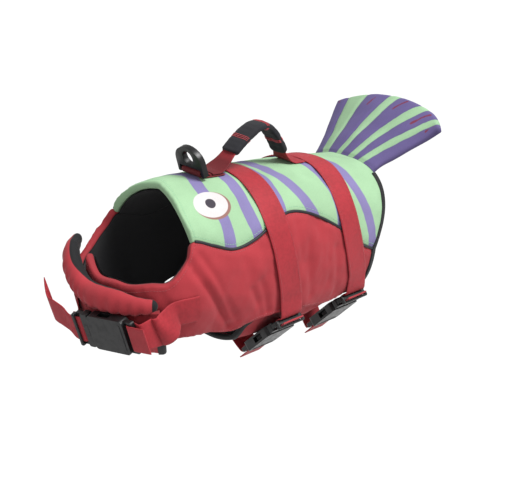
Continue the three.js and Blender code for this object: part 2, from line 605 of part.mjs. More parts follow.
// Neck webbing: buckle on the front of the flap, the left part ends in a stitched patch on the flank,
// the right part is sewn to the other flank and its loose end stands off past the ladder
const stopsOf = (rows) => rows.map(([x, y, z, lift]) => ({ x, y, z, lift, wide: WEBBING }));
const neckMiddle = onForm(new THREE.Vector3(-259, -26, -112.2), 0);
const neckRun = new THREE.Vector3(-267, 20, -122).sub(new THREE.Vector3(-253, -61, -111.5));
const neckFrame = frameAt(onForm(neckMiddle, FLAP_LIFT + 10), neckRun, outward(neckMiddle));
addBuckle("buckle_neck", neckFrame);
const neckLeft = stopsOf([[-194, -85, -92, 1.6], [-205, -82, -92, 1.6], [-213, -80, -92.5, 1.6], [-220, -78.5, -94, 3],
  [-226, -77, -97, 10], [-232, -76, -101, 17.8], [-238, -75, -104, 20.4], [-243, -73, -106, 19.4]]);
strap("neck_webbing_left", [...barLoop(neckFrame, -1, [[50, 3.8], [59, 3.6]]).reverse(),
  ...formStops(neckLeft, 0, neckLeft.length - 1, 16).reverse()], WEB_THICK, RED);
const neckRight = stopsOf([[-193, 84, -98, 1.6], [-206, 81, -101, 1.8], [-219, 76, -104, 3], [-232, 71, -108, 6.6],
  [-245, 62, -112, 11.2], [-254, 52, -115, 13.4], [-261, 40, -119, 14.4]]);
const strayEnd = [[50, 4.8, 3], [57, 5.6, 12], [64, 6.2, 18], [71, 6.4, 21], [77, 6.4, 23],
  [81, 6, 26], [84, 4.6, 34], [86, 3, 42]];
const strayStops = strayEnd.map(([x, z, rise]) => {
  const at = (y) => new THREE.Vector3(x, -y, z).applyMatrix4(neckFrame).add(new THREE.Vector3(0, 0, rise));
  return { l: at(-WEBBING / 2), m: at(0), r: at(WEBBING / 2) };
});
strap("neck_webbing_right", [...strayStops.reverse(), ...barLoop(neckFrame, 1, []).reverse(),
  ...formStops(neckRight, 0, neckRight.length - 1, 16).reverse()], WEB_THICK, RED);

// Lifting handle on the ridge: x, z and width of the webbing's middle line
const ridgeAt = (x) => column(FORM, "top", x);
const HANDLE = [
  { x: -111, z: ridgeAt(-111) + 4.1, wide: 32 }, { x: -104, z: ridgeAt(-104) + 4.1, wide: 32 },
  { x: -97, z: ridgeAt(-97) + 4.3, wide: 32 }, { x: -89, z: 25.5, wide: 30 }, { x: -81, z: 30, wide: 25 },
  { x: -72, z: 37, wide: 21.5 }, { x: -62, z: 44.5, wide: 21 }, { x: -50, z: 52.3, wide: 21 },
  { x: -38, z: 58, wide: 21 }, { x: -27, z: 60.3, wide: 21 }, { x: -17, z: 57.3, wide: 21 }, { x: -9, z: 49.5, wide: 21 },
  { x: -2, z: 39.5, wide: 21 }, { x: 3.5, z: 29.5, wide: 21 }, { x: 7.5, z: 20.5, wide: 22 }, { x: 12, z: 12.6, wide: 29 },
  { x: 19, z: ridgeAt(19) + 2, wide: 32 }, { x: 27, z: ridgeAt(27) + 1.7, wide: 32 }, { x: 35, z: ridgeAt(35) + 1.7, wide: 32 },
];
const handlePoint = (u) => ({ c: new THREE.Vector3(along(HANDLE, "x", u), 0, along(HANDLE, "z", u)), wide: along(HANDLE, "wide", u) });
function handleStops(from, to, count) {
  const stops = [];
  for (let k = 0; k <= count; k += 1) {
    const { c, wide } = handlePoint(from + (to - from) * k / count);
    const flat = easeStep(14, 4, Math.abs(c.z - ridgeAt(c.x)));
    const edge = (y) => {
      const p = c.clone().setY(y);
      const bend = onForm(new THREE.Vector3(c.x, y, ridgeAt(c.x)), 0).z - onForm(new THREE.Vector3(c.x, 0, ridgeAt(c.x)), 0).z;
      p.z += bend * flat;
      return p;
    };
    stops.push({ l: edge(-wide / 2), m: edge(0), r: edge(wide / 2) });
  }
  return stops;
}
strap("handle_webbing", handleStops(0, HANDLE.length - 1, 34), WEB_THICK, RED);

// Black padded sleeve round the middle of the handle
const GRIP = { from: 5, to: 13.8, wide: 26, thick: 8, hollowWide: 23.4, hollowThick: 3, count: 14 };
const gripRing = (wide, thick, round) => {
  const ring = [];
  for (const [sy, sz] of [[1, 1], [-1, 1], [-1, -1], [1, -1]]) {
    const corner = [[wide / 2, thick / 2 - round], [wide / 2 - round, thick / 2]];
    if (sy * sz < 0) corner.reverse();
    for (const [y, z] of corner) ring.push([sy * y, sz * z]);
  }
  return ring;
};
function sleeve(name, spec, colour) {
  const rings = [];
  for (let k = 0; k <= spec.count; k += 1) {
    const u = spec.from + (spec.to - spec.from) * k / spec.count;
    const { c } = handlePoint(u);
    const run = handlePoint(u + 0.05).c.sub(handlePoint(u - 0.05).c).normalize();
    const n = run.clone().cross(new THREE.Vector3(0, 1, 0)).normalize().multiplyScalar(-1);
    const squeeze = k === 0 || k === spec.count ? 0.82 : 1;
    const outline = gripRing(spec.wide, spec.thick * squeeze, 2.2).map(([y, z]) => c.clone().addScaledVector(n, z).setY(y));
    const hole = gripRing(spec.hollowWide, spec.hollowThick, 0.6).map(([y, z]) => c.clone().addScaledVector(n, z).setY(y));
    rings.push([...outline, ...hole]);
  }
  const positions = rings.flat().flatMap((p) => [p.x, p.y, p.z]);
  const triangles = [];
  const quad = (a, b, c, d) => triangles.push(a, b, c, a, c, d);
  for (let i = 0; i < rings.length - 1; i += 1) {
    for (let k = 0; k < 8; k += 1) {
      const n = (k + 1) % 8;
      const a = i * 16;
      quad(a + k, a + n, a + 16 + n, a + 16 + k);
      quad(a + 8 + n, a + 8 + k, a + 24 + k, a + 24 + n);
    }
  }
  const last = (rings.length - 1) * 16;
  for (let k = 0; k < 8; k += 1) {
    const n = (k + 1) % 8;
    quad(n, k, 8 + k, 8 + n);
    quad(last + k, last + n, last + 8 + n, last + 8 + k);
  }
  const skin = orient(positions, triangles);
  return addMesh(name, skin.positions, skin.triangles, colour);
}
sleeve("handle_grip", GRIP, BLACK);

// Leash ring: a moulded plate with a round hole and a straight bar held in a folded webbing tab
const RING = { x: -126, barLift: 5.4, rod: 2.3, lean: 15, wide: 44, tall: 31.5, thick: 7, hole: 8.6, holeAt: 18.2 };
const ringBar = new THREE.Vector3(RING.x, 0, ridgeAt(RING.x) + RING.barLift);
const tabRows = [[34, -3.9, 1], [22, -3.9, 1], [12, -3.8, 1], [5, -3.65, 0.6]];
for (let degrees = 90; degrees <= 270; degrees += 30) {
  const a = THREE.MathUtils.degToRad(degrees);
  tabRows.push([-3.6 * Math.sin(a - Math.PI / 2), -3.6 * Math.cos(a - Math.PI / 2), 0]);
}
tabRows.push([3.4, 3.2, 0], [6.6, 1.7, 0.3], [10, -0.6, 0.8], [13, -1.2, 1]);
const tabSlope = Math.atan2(ridgeAt(-92) - ridgeAt(-126), 34);
strap("ring_tab", tabRows.map(([a, b, bend]) => {
  const at = (y) => {
    const x = ringBar.x + a * Math.cos(tabSlope) - b * Math.sin(tabSlope);
    const drop = onForm(new THREE.Vector3(x, y, ridgeAt(x)), 0).z - onForm(new THREE.Vector3(x, 0, ridgeAt(x)), 0).z;
    return new THREE.Vector3(x, y, ringBar.z + a * Math.sin(tabSlope) + b * Math.cos(tabSlope) + drop * bend);
  };
  return { l: at(-WEBBING / 2), m: at(0), r: at(WEBBING / 2) };
}), WEB_THICK, RED);

const ringOutline = [[-22, -2.5], [22, -2.5], [22, 14]];
for (let k = 1; k < 12; k += 1) {
  const a = Math.PI * k / 12;
  ringOutline.push([22 * Math.cos(a) ** 1, 14 + 17.5 * Math.sin(a)]);
}
ringOutline.push([-22, 14]);
const holeRound = [];
for (let k = 0; k < 40; k += 1) {
  const a = 2 * Math.PI * k / 40;
  holeRound.push([RING.hole * Math.cos(a), RING.holeAt + RING.hole * Math.sin(a)]);
}
const ringShape = new THREE.Shape(ringOutline.map(([x, y]) => new THREE.Vector2(x, y)));
ringShape.holes.push(new THREE.Path(holeRound.map(([x, y]) => new THREE.Vector2(x, y))));
const ringDisc = new THREE.ExtrudeGeometry(ringShape, { depth: RING.thick, bevelEnabled: false });
const ringPlate = solidOf(ringDisc.translate(0, 0, -RING.thick / 2));
const ringSlot = solidOf(new THREE.BoxGeometry(35, 9.4, 20).translate(0, 1.7, 0));
const ringRod = solidOf(new THREE.CylinderGeometry(RING.rod, RING.rod, 38, 12).rotateZ(Math.PI / 2));
const leanBy = THREE.MathUtils.degToRad(RING.lean);
const ringFrame = new THREE.Matrix4().makeBasis(new THREE.Vector3(0, 1, 0),
  new THREE.Vector3(-Math.sin(leanBy), 0, Math.cos(leanBy)), new THREE.Vector3(Math.cos(leanBy), 0, Math.sin(leanBy))).setPosition(ringBar);
const ringBody = new THREE.Group();
ringBody.name = "leash_ring_body";
jacket.add(ringBody);
solidMesh("leash_ring", ringPlate.subtract(ringSlot).add(ringRod), ringFrame, BLACK, ringBody);

// Tail fin sewn to the rear edge of the back, rising and widening to the rear
const FIN = { root: 123.8, half: 45, rows: [
  { x: 123.8, half: 45, far: 62, lift: 0, arch: 1, sag: 0 }, { x: 138, half: 48, far: 64, lift: 10.5, arch: 0.8, sag: 5 },
  { x: 155, half: 55, far: 69, lift: 22, arch: 0.55, sag: 11 }, { x: 173, half: 64, far: 76, lift: 34, arch: 0.3, sag: 15 },
  { x: 191, half: 75, far: 82, lift: 46, arch: 0.1, sag: 18 }, { x: 207, half: 83, far: 86, lift: 55.5, arch: 0, sag: 19.5 },
  { x: 218, half: 87, far: 88, lift: 61, arch: 0, sag: 20.5 }], thick: 12, bow: 10, yaw: 8, clear: 5 };
function finSheet(u, t) {
  const y = along(FIN.rows, t > 0 ? "far" : "half", u) * t;
  const edge = onForm(new THREE.Vector3(FIN.root, along(FIN.rows, t > 0 ? "far" : "half", 0) * t, ridgeAt(FIN.root) - 5 * t * t), 0);
  const droop = (edge.z - ridgeAt(FIN.root)) * along(FIN.rows, "arch", u) - along(FIN.rows, "sag", u) * t * t;
  const x = along(FIN.rows, "x", u) - (FIN.bow * t * t + FIN.yaw * t) * (u / 6) ** 2 + FIN.clear * Math.max(t, 0) ** 2 * (1 - u / 6);
  return new THREE.Vector3(x, y, ridgeAt(FIN.root) - 4.6 + along(FIN.rows, "lift", u) + droop);
}
const finUpper = [];
const finLower = [];
for (let i = 0; i <= 9; i += 1) {
  const u = [0, 0.6, 1.3, 2, 2.8, 3.6, 4.5, 5.3, 5.8, 6][i];
  const up = [];
  const down = [];
  for (let j = 0; j <= 12; j += 1) {
    const t = [-1, -0.97, -0.88, -0.7, -0.48, -0.24, 0, 0.24, 0.48, 0.7, 0.88, 0.97, 1][j];
    const p = finSheet(u, t);
    const dt = finSheet(u, Math.min(t + 0.02, 1)).sub(finSheet(u, Math.max(t - 0.02, -1)));
    const du = finSheet(Math.min(u + 0.05, 6), t).sub(finSheet(Math.max(u - 0.05, 0), t));
    const n = du.cross(dt).normalize().lerp(new THREE.Vector3(0, 0, 1), 1 - easeStep(0, 0.6, u)).normalize();
    const side = (1 - Math.abs(t)) * along(FIN.rows, "half", u);
    const back = (6 - u) * 12;
    const root = 8.6 + (FIN.thick - 8.6) * easeStep(0, 2, u);
    const half = root / 2 * rimShape(side, 7) * rimShape(back, 7);
    up.push(p.clone().addScaledVector(n, half));
    down.push(p.clone().addScaledVector(n, -half));
  }
  finUpper.push(up);
  finLower.push(down);
}
const finSkin = closedGrid(finUpper, finLower);
addMesh("tail_fin", finSkin.positions, finSkin.triangles, PURPLE);

export default jacket;
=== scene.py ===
import math

import bmesh
import bpy
import numpy as np
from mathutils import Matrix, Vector


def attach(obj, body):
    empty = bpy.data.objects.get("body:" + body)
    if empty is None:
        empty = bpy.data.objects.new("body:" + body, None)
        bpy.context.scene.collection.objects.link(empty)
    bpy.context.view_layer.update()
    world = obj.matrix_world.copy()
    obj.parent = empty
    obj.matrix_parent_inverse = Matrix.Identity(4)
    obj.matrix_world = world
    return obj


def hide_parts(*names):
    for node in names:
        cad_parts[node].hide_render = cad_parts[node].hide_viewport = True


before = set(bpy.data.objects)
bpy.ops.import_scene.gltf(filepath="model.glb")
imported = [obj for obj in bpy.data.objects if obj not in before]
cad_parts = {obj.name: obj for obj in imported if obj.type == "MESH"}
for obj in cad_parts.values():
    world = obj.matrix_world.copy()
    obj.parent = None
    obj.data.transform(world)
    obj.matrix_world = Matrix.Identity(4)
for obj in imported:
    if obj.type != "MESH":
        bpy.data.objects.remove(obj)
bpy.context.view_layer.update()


# Camera, floor and light
# The camera looks from the front left and a little above, a long way off, as the photograph does.
# The jacket is held up as if worn, well clear of the plain pale floor, so its shadow falls out of the view.
PICTURE_WIDTH = 521
FOCAL_LENGTH = 1270
CAMERA_DISTANCE = 1.5
FLOOR_HEIGHT = -0.9
FLOOR_REACH = 20
target = Vector((-0.041, -0.019, -0.0727))
azimuth = math.radians(-43)
elevation = math.radians(22)
level_back = math.cos(elevation)
backward = Vector((math.sin(azimuth) * level_back, -math.cos(azimuth) * level_back, math.sin(elevation)))
camera_data = bpy.data.cameras.new("camera")
camera_data.sensor_width = 36
camera_data.lens = camera_data.sensor_width * FOCAL_LENGTH / PICTURE_WIDTH
camera_data.clip_end = 50
camera = bpy.data.objects.new("camera", camera_data)
bpy.context.scene.collection.objects.link(camera)
camera.location = target + backward * CAMERA_DISTANCE
camera.rotation_euler = (-backward).to_track_quat("-Z", "Y").to_euler()
bpy.context.scene.camera = camera

bpy.context.scene.view_settings.view_transform = "Standard"
world = bpy.data.worlds.new("studio")
world.use_nodes = True
world.node_tree.nodes["Background"].inputs["Color"].default_value = (1, 1, 1, 1)
world.node_tree.nodes["Background"].inputs["Strength"].default_value = 0.62
bpy.context.scene.world = world

for name, place_at, kind, size, power in [("key", (0.5, -1.0, 1.75), "SUN", math.radians(30), 5.4),
                                          ("fill", (-1.6, -0.7, 0.9), "AREA", 1.5, 6)]:
    lamp = bpy.data.lights.new(name, kind)
    if kind == "SUN":
        lamp.angle = size
    else:
        lamp.size = size
    lamp.energy = power
    holder = bpy.data.objects.new(name, lamp)
    holder.location = place_at
    holder.rotation_euler = (Vector((0, 0, -0.08)) - Vector(place_at)).to_track_quat("-Z", "Y").to_euler()
    bpy.context.scene.collection.objects.link(holder)

floor_mesh = bpy.data.meshes.new("floor")
floor_corners = [(x * FLOOR_REACH, y * FLOOR_REACH, FLOOR_HEIGHT)
                 for x, y in ((-1, -1), (1, -1), (1, 1), (-1, 1))]
floor_mesh.from_pydata(floor_corners, [], [(0, 1, 2, 3)])
floor = bpy.data.objects.new("floor", floor_mesh)
bpy.context.scene.collection.objects.link(floor)
floor_finish = bpy.data.materials.new("floor")
floor_finish.use_nodes = True
floor_shader = floor_finish.node_tree.nodes["Principled BSDF"]
floor_shader.inputs["Base Color"].default_value = (0.5, 0.5, 0.5, 1)
floor_shader.inputs["Roughness"].default_value = 0.9
floor_mesh.materials.append(floor_finish)


# Back panel
# One green foam-filled panel lies over the ridge from seam to seam. It is woven polyester printed with
# purple cross stripes and a plain round eye on each side, and turned in round the neck edge.
RISE = np.array([0, 0, 3.3])
FORM_X = np.array([-175, -115, -49, 0, 50, 90, 125.0])
FORM = {
    "top": np.array([27, 20.5, 13.5, 8, 2, -4.5, -11]),
    "bottom": np.array([-174, -185, -189, -189, -185, -178, -171.0]),
    "half": np.array([88, 91, 92, 90, 85, 80, 75.0]),
    "power": np.array([1.88, 2.2, 2.45, 2.5, 2.5, 2.6, 2.7]),
}
FRONT_REACH = 92
FRONT_START = -165
FRONT_POWER = 2.5
WALL = 9
VALLEY = 2.2
FOAM_RADIUS = 4.5


def column(key, x):
    """A measure of the form at x, read from its table along a smooth curve."""
    x = np.asarray(x, float)
    values = FORM[key]
    last = len(FORM_X) - 1
    ahead = np.minimum(np.arange(last + 1) + 1, last)
    behind = np.maximum(np.arange(last + 1) - 1, 0)
    slopes = (values[ahead] - values[behind]) / (FORM_X[ahead] - FORM_X[behind])
    i = np.clip(np.searchsorted(FORM_X, x, side="left") - 1, 0, last - 1)
    step = FORM_X[i + 1] - FORM_X[i]
    s = (x - FORM_X[i]) / step
    curve = ((2 * s**3 - 3 * s**2 + 1) * values[i] + (s**3 - 2 * s**2 + s) * step * slopes[i]
             + (3 * s**2 - 2 * s**3) * values[i + 1] + (s**3 - s**2) * step * slopes[i + 1])
    before = values[i] + slopes[i] * (x - FORM_X[i])
    after = values[i + 1] + slopes[i + 1] * (x - FORM_X[i + 1])
    return np.where(s < 0, before, np.where(s > 1, after, curve))


def section(x):
    top = column("top", x)
    bottom = column("bottom", x)
    return (top + bottom) / 2, (top - bottom) / 2, column("half", x), column("power", x)


def level(p):
    """How far out a place lies, 1 on the form, and the middle that it is measured from."""
    x = np.maximum(p[..., 0], FRONT_START)
    middle, high, half, power = section(x)
    nose = np.maximum(FRONT_START - p[..., 0], 0) / FRONT_REACH
    ring = (np.abs(p[..., 1]) / half) ** power + (np.abs(p[..., 2] - middle) / high) ** power
    size = (nose**FRONT_POWER + ring ** (FRONT_POWER / power)) ** (1 / FRONT_POWER)
    return size, np.stack([x, np.zeros_like(x), middle], -1)


def outward(p):
    steps = []
    for axis in np.eye(3) * 0.5:
        steps.append(level(p + axis)[0] - level(p - axis)[0])
    n = np.stack(steps, -1)
    return n / np.linalg.norm(n, axis=-1, keepdims=True)


def on_form(q, lift=0.0):
    """Moves places straight onto the form, then lifts them off it by millimetres."""
    size, centre = level(q)
    p = centre + (q - centre) / size[..., None]
    return p + outward(p) * np.asarray(lift, float)[..., None]


def along(rows, u):
    """A smooth curve through the rows of a table, read at row number u."""
    rows = np.asarray(rows, float)
    u = np.asarray(u, float)
    last = len(rows) - 1
    i = np.clip(np.floor(u).astype(int), 0, last - 1)
    s = u - i
    if rows.ndim > 1:
        s = s[..., None]
    here = rows[i]
    there = rows[i + 1]
    has_before = i > 0
    has_after = i + 2 <= last
    if rows.ndim > 1:
        has_before = has_before[..., None]
        has_after = has_after[..., None]
    before = np.where(has_before, rows[np.maximum(i - 1, 0)], 2 * here - there)
    after = np.where(has_after, rows[np.minimum(i + 2, last)], 2 * there - here)
    return 0.5 * (2 * here + (there - before) * s + (2 * before - 5 * here + 4 * there - after) * s * s
                  + (3 * here - before - 3 * there + after) * s**3)


def ease(a, b, x):
    s = np.clip((np.asarray(x, float) - a) / (b - a), 0, 1)
    return s * s * (3 - 2 * s)


def uneven(p, size, seed):
    """A soft uneven wave through space from about -1 to 1, its bumps some size millimetres long."""
    draw = np.random.default_rng(seed)
    total = np.zeros(p.shape[:-1])
    for _ in range(7):
        way = draw.normal(size=3)
        way /= np.linalg.norm(way)
        total += np.sin(p @ way * (2 * math.pi / (size * draw.uniform(0.7, 1.6))) + draw.uniform(0, 6.28))
    return total / 3.2


def closed_grid(upper, lower):
    """Points and faces of a closed skin whose two sides are grids of points."""
    rows, columns = upper.shape[:2]
    points = np.concatenate([upper.reshape(-1, 3), lower.reshape(-1, 3)])
    i, j = np.meshgrid(np.arange(rows - 1), np.arange(columns - 1), indexing="ij")
    a = (i * columns + j).ravel()
    count = rows * columns
    top = np.stack([a, a + columns, a + columns + 1, a + 1], 1)
    under = top[:, ::-1] + count
    k = np.arange(rows - 1) * columns
    left = np.stack([k + columns, k, k + count, k + columns + count], 1)
    r = k + columns - 1
    right = np.stack([r, r + columns, r + columns + count, r + count], 1)
    m = np.arange(columns - 1)
    start = np.stack([m, m + 1, m + 1 + count, m + count], 1)
    e = m + (rows - 1) * columns
    end = np.stack([e + 1, e, e + count, e + 1 + count], 1)
    return points, np.concatenate([top, under, left, right, start, end])


def make_piece(name, points, faces, uv=None, values=None, sharp=None):
    """A mesh object from points in the pattern's millimetres, with its faces turned outwards."""
    a, b, c, d = (points[faces[:, k]] for k in range(4))
    volume = (a * np.cross(b, c)).sum() + (a * np.cross(c, d)).sum()
    if volume < 0:
        faces = faces[:, ::-1]
    mesh = bpy.data.meshes.new(name)
    mesh.from_pydata(((points + RISE) / 1000).tolist(), [], faces.tolist())
    mesh.update()
    if uv is not None:
        layer = mesh.uv_layers.new(name="cloth")
        corners = np.zeros(len(mesh.loops), int)
        mesh.loops.foreach_get("vertex_index", corners)
        layer.data.foreach_set("uv", (uv[corners] / 1000).ravel())
    for key, list_of in (values or {}).items():
        mark = mesh.attributes.new(key, "FLOAT", "POINT")
        mark.data.foreach_set("value", np.asarray(list_of, np.float32))
    mesh.shade_smooth()
    if sharp:
        mesh.set_sharp_from_angle(angle=math.radians(sharp))
    piece = bpy.data.objects.new(name, mesh)
    bpy.context.scene.collection.objects.link(piece)
    return piece


def distance_to_line(p, line):
    """How far each place lies from a line of points."""
    nearest = np.full(p.shape[:-1], 1e9)
    for a, b in zip(line[:-1], line[1:]):
        a = np.asarray(a, float)
        ab = np.asarray(b, float) - a
        t = np.clip(((p - a) @ ab) / (ab @ ab), 0, 1)
        nearest = np.minimum(nearest, np.linalg.norm(p - a - t[..., None] * ab, axis=-1))
    return nearest


class Wall:
    """A foam-filled panel on the form: guide gives its pattern, and heights are measured outwards."""

    def __init__(self, guide, rows, high, low, rims, base=None, relief=None, gap=0.25, radius=FOAM_RADIUS):
        self.guide = guide
        self.high = high
        self.low = low
        self.rims = rims
        self.base = base or (lambda u, v: np.zeros(np.shape(u)))
        self.relief = relief
        self.gap = gap
        self.radius = radius
        self.marks = np.linspace(rows[0], rows[1], 90)
        grid_u, grid_v = np.meshgrid(self.marks, np.linspace(0, 1, 17), indexing="ij")
        sample = on_form(guide(grid_u, grid_v))
        self.widths = np.linalg.norm(np.diff(sample, axis=1), axis=2).sum(1)
        steps = np.linalg.norm(np.diff(sample[:, 8], axis=0), axis=1)
        self.lengths = np.concatenate([[0], np.cumsum(steps)])

    def heights(self, u, v):
        width = np.interp(u, self.marks, self.widths)
        length = np.interp(u, self.marks, self.lengths)
        first = v * width
        second = (1 - v) * width
        start = length
        end = self.lengths[-1] - length
        first_rim, second_rim, start_rim, end_rim = self.rims(u)
        rim = np.ones(np.shape(u))
        valley = np.zeros(np.shape(u))
        for near, is_rim in ((first, first_rim), (second, second_rim), (start, start_rim), (end, end_rim)):
            round_off = 0.3 + 0.7 * np.sqrt(np.clip(1 - (1 - np.clip(near / self.radius, 0, 1)) ** 2, 0, 1))
            rim = np.where(is_rim == 1, np.minimum(rim, round_off), rim)
            valley = np.where(is_rim == 0, np.maximum(valley, np.clip(1 - near / 13, 0, 1) ** 2), valley)
        edge = np.minimum(np.minimum(first, second), np.minimum(start, end))
        q = on_form(self.guide(u, v))
        bump = self.relief(q, u, v, length, first, second) if self.relief else 0
        base = self.base(u, v)
        top = base + self.high - VALLEY * valley + bump * np.clip(edge / 2.5, 0, 1)
        under = base + self.low
        half = (top - under) / 2 * rim
        mid = (top + under) / 2
        return q, mid + half, mid - half, edge

    def surface(self, u, v, proud=0.0):
        """Places on the outer face, for stitches and patches."""
        u = np.asarray(u, float)
        v = np.asarray(v, float) + np.zeros_like(u)
        q, top, _, _ = self.heights(u, v)
        return on_form(q, top + proud)

    def inset(self, u, distance):
        """The pattern's v at a distance in mm from the first edge, or if negative from the second."""
        width = np.interp(u, self.marks, self.widths)
        return distance / width if distance >= 0 else 1 + distance / width

    def grid(self, rows, fine):
        total = self.lengths[-1]
        steps = max(int(total / fine), 8)
        if total < 20:
            spaced = np.linspace(0, total, 11)
        else:
            rim = np.array([0, 0.7, 1.5, 2.7])
            spaced = np.concatenate([rim, np.linspace(4.2, total - 4.2, steps), total - rim[::-1]])
        u = np.interp(spaced, self.lengths, self.marks)
        u = np.clip(u, rows[0], rows[1])
        widths = np.interp(u, self.marks, self.widths)
        close = np.array([self.gap, 0.7, 1.5, 2.7, 4.2])
        across = max(int(np.mean(widths) / fine), 5)
        inner = np.linspace(0, 1, across + 1)[1:-1]
        columns = [np.concatenate([close, 4.2 + inner * (w - 8.4), w - close[::-1]]) / w for w in widths]
        columns = np.stack(columns)
        grid_u = np.repeat(u[:, None], columns.shape[1], 1)
        return grid_u, columns, spaced, widths

    def build(self, name, rows, fine=2.6, values=None):
        u, v, spaced, widths = self.grid(rows, fine)
        q, top, under, edge = self.heights(u, v)
        points, faces = closed_grid(on_form(q, top), on_form(q, under))
        uv = np.stack([np.repeat(spaced[:, None], v.shape[1], 1), (v - 0.5) * widths[:, None]], -1)
        uv = uv.reshape(-1, 2)
        marks = {"edge": np.tile(edge.ravel(), 2)}
        for key, measure in (values or {}).items():
            marks[key] = np.tile(measure(q).ravel(), 2)
        return make_piece(name, points, faces, np.tile(uv, (2, 1)), marks)


LEFT_TOP = np.array([
    [-244, 36, -51], [-252, 14, -66], [-252, -15, -64], [-249, -35, -64], [-237, -58, -59],
    [-221, -72, -57], [-202, -81, -35], [-190, -77, -17], [-165, -81, -27], [-139, -85, -38],
    [-108, -85, -35], [-75, -81, -24], [-49, -78, -19], [-20, -80, -28], [20, -85, -53], [62, -83, -87],
    [93, -78, -105.0]])
LEFT_LOW = np.array([
    [-239, 36, -130], [-253, 14, -137], [-251, -15, -139], [-243, -38, -139], [-230, -55, -137],
    [-215, -65, -135], [-190, -72, -135], [-163, -72, -141], [-137, -74, -147], [-114, -80, -139],
    [-85, -84, -137], [-62, -84, -139], [-38, -84, -142], [-10, -80, -149], [23, -74, -156],
    [60, -70, -157], [87, -68, -149.0]])
FLIP = np.array([1, -1, 1])
LEFT_SEAM = 7
LEFT_END = 16
RIDGE = np.array([-177.5, -147, -117, -85, -55, -29, -2, 35, 80, 123.0])


def left_guide(u, v):
    v = np.asarray(v, float)[..., None]
    return along(LEFT_TOP, u) * (1 - v) + along(LEFT_LOW, u) * v


def back_guide(u, v):
    t = np.abs(2 * v - 1)
    seam = on_form(along(LEFT_TOP, LEFT_SEAM + u))
    middle, high, half, power = section(np.maximum(seam[..., 0], FRONT_START))
    ring = (np.abs(seam[..., 1]) / half) ** power + (np.abs(seam[..., 2] - middle) / high) ** power
    ring = ring ** (1 / power)
    angle = np.arctan2(-seam[..., 1] / half, (seam[..., 2] - middle) / high) * t
    bow = np.sin(t * math.pi / 2) * (1 - u / 9) + t**3 * u / 9
    x = along(RIDGE, u) * (1 - bow) + seam[..., 0] * bow
    here_middle, here_high, here_half, here_power = section(np.maximum(x, FRONT_START))
    size = 1 + (ring - 1) * t
    sine = np.abs(np.sin(angle))
    cosine = np.abs(np.cos(angle))
    square = (sine**here_power + cosine**here_power) ** (1 / here_power)
    straight = (sine**power + cosine**power) ** (1 / power)
    k = size / (square * (1 - t) + straight * t)
    y = np.sign(v - 0.5) * np.sin(angle) * here_half * k
    return np.stack([x, y, here_middle + np.cos(angle) * here_high * k], -1)


STRIPE_LINES = [
    [(-131, 0, 27), (-144, -41, 19), (-139.5, -68, -3), (-142, -84, -33), (-143, -85, -60)],
    [(-92.5, 0, 24), (-97, -30, 20), (-104.5, -70, -6), (-101, -86, -38), (-100, -88, -60)],
    [(-52, 0, 19), (-54, -40, 12), (-60, -76, -16), (-61, -84, -40)],
    [(-32, 0, 16), (-28, -40, 8), (-15, -78, -24), (-8, -86, -50)],
    [(34, 0, 6), (33, -35, 0), (32, -61, -12), (31, -84, -52), (33, -88, -90)],
    [(66, 0, 0), (70, -40, -10), (72, -64, -27), (82, -76, -60), (88.5, -79, -92), (92, -80, -115)]]
STRIPE_HALF = 7.6
EYE_CENTRE = np.array([-145, -54, 10.6])
EYE_HALF = (21.5, 17.0)


def stripe_distance(q):
    """Millimetres from the nearest stripe's edge, negative inside it. The eye is printed over the stripes in
    the shader.
    """
    mirrored = q * np.array([1, 0, 1]) - np.abs(q * np.array([0, 1, 0]))
    best = np.full(q.shape[:-1], 99.0)
    for line in STRIPE_LINES:
        dense = along(np.array(line, float), np.linspace(0, len(line) - 1, 5 * len(line)))
        best = np.minimum(best, distance_to_line(mirrored, on_form(dense)) - STRIPE_HALF)
    return best


def puckers(q, length, near, pitch, deep, reach, seed):
    """Small gathers that run off a sewn edge."""
    wander = uneven(q, 40, seed)
    gathers = np.sin(length * 2 * math.pi / pitch + 2.5 * wander) * (0.6 + 0.4 * wander)
    return deep * np.exp(-near / reach) * gathers


def back_relief(q, u, v, length, first, second):
    soft = 0.7 * uneven(q, 46, 3) + 0.25 * uneven(q, 17, 4)
    side = np.minimum(first, second)
    return soft + puckers(q, length, side, 11, 0.5, 9, 5) + puckers(q, v * 240, length, 12, 0.7, 8, 6)


def back_rims(u):
    none = np.full(np.shape(u), -1)
    return np.zeros(np.shape(u), int), np.zeros(np.shape(u), int), none + 2, none


def bsdf_material(name, rough, sheen=0.0, specular=0.4):
    """A new material and its shader, with roughness, sheen and gloss set on the shader itself."""
    finish = bpy.data.materials.new(name)
    finish.use_nodes = True
    shader = finish.node_tree.nodes["Principled BSDF"]
    shader.inputs["Roughness"].default_value = rough
    shader.inputs["Specular IOR Level"].default_value = specular
    shader.inputs["Sheen Weight"].default_value = sheen
    shader.inputs["Sheen Roughness"].default_value = 0.5
    return finish, finish.node_tree, shader


def put(tree, kind, **inputs):
    """Adds a node and fills its inputs: a socket is linked, anything else is a value."""
    node = tree.nodes.new(kind)
    for key, value in inputs.items():
        name = key.replace("_", " ")
        if name[-1].isdigit() and name[:-1].strip() in ("Value", "Vector"):
            where = node.inputs[int(name[-1])]
        elif hasattr(node, key) and name not in node.inputs:
            setattr(node, key, value)
            continue
        else:
            where = node.inputs[name]
        if isinstance(value, bpy.types.NodeSocket):
            tree.links.new(value, where)
        else:
            where.default_value = value
    return node


def maths(tree, operation, a, b=0.0):
    node = tree.nodes.new("ShaderNodeMath")
    node.operation = operation
    for k, value in enumerate((a, b)):
        if isinstance(value, bpy.types.NodeSocket):
            tree.links.new(value, node.inputs[k])
        else:
            node.inputs[k].default_value = value
    return node.outputs[0]


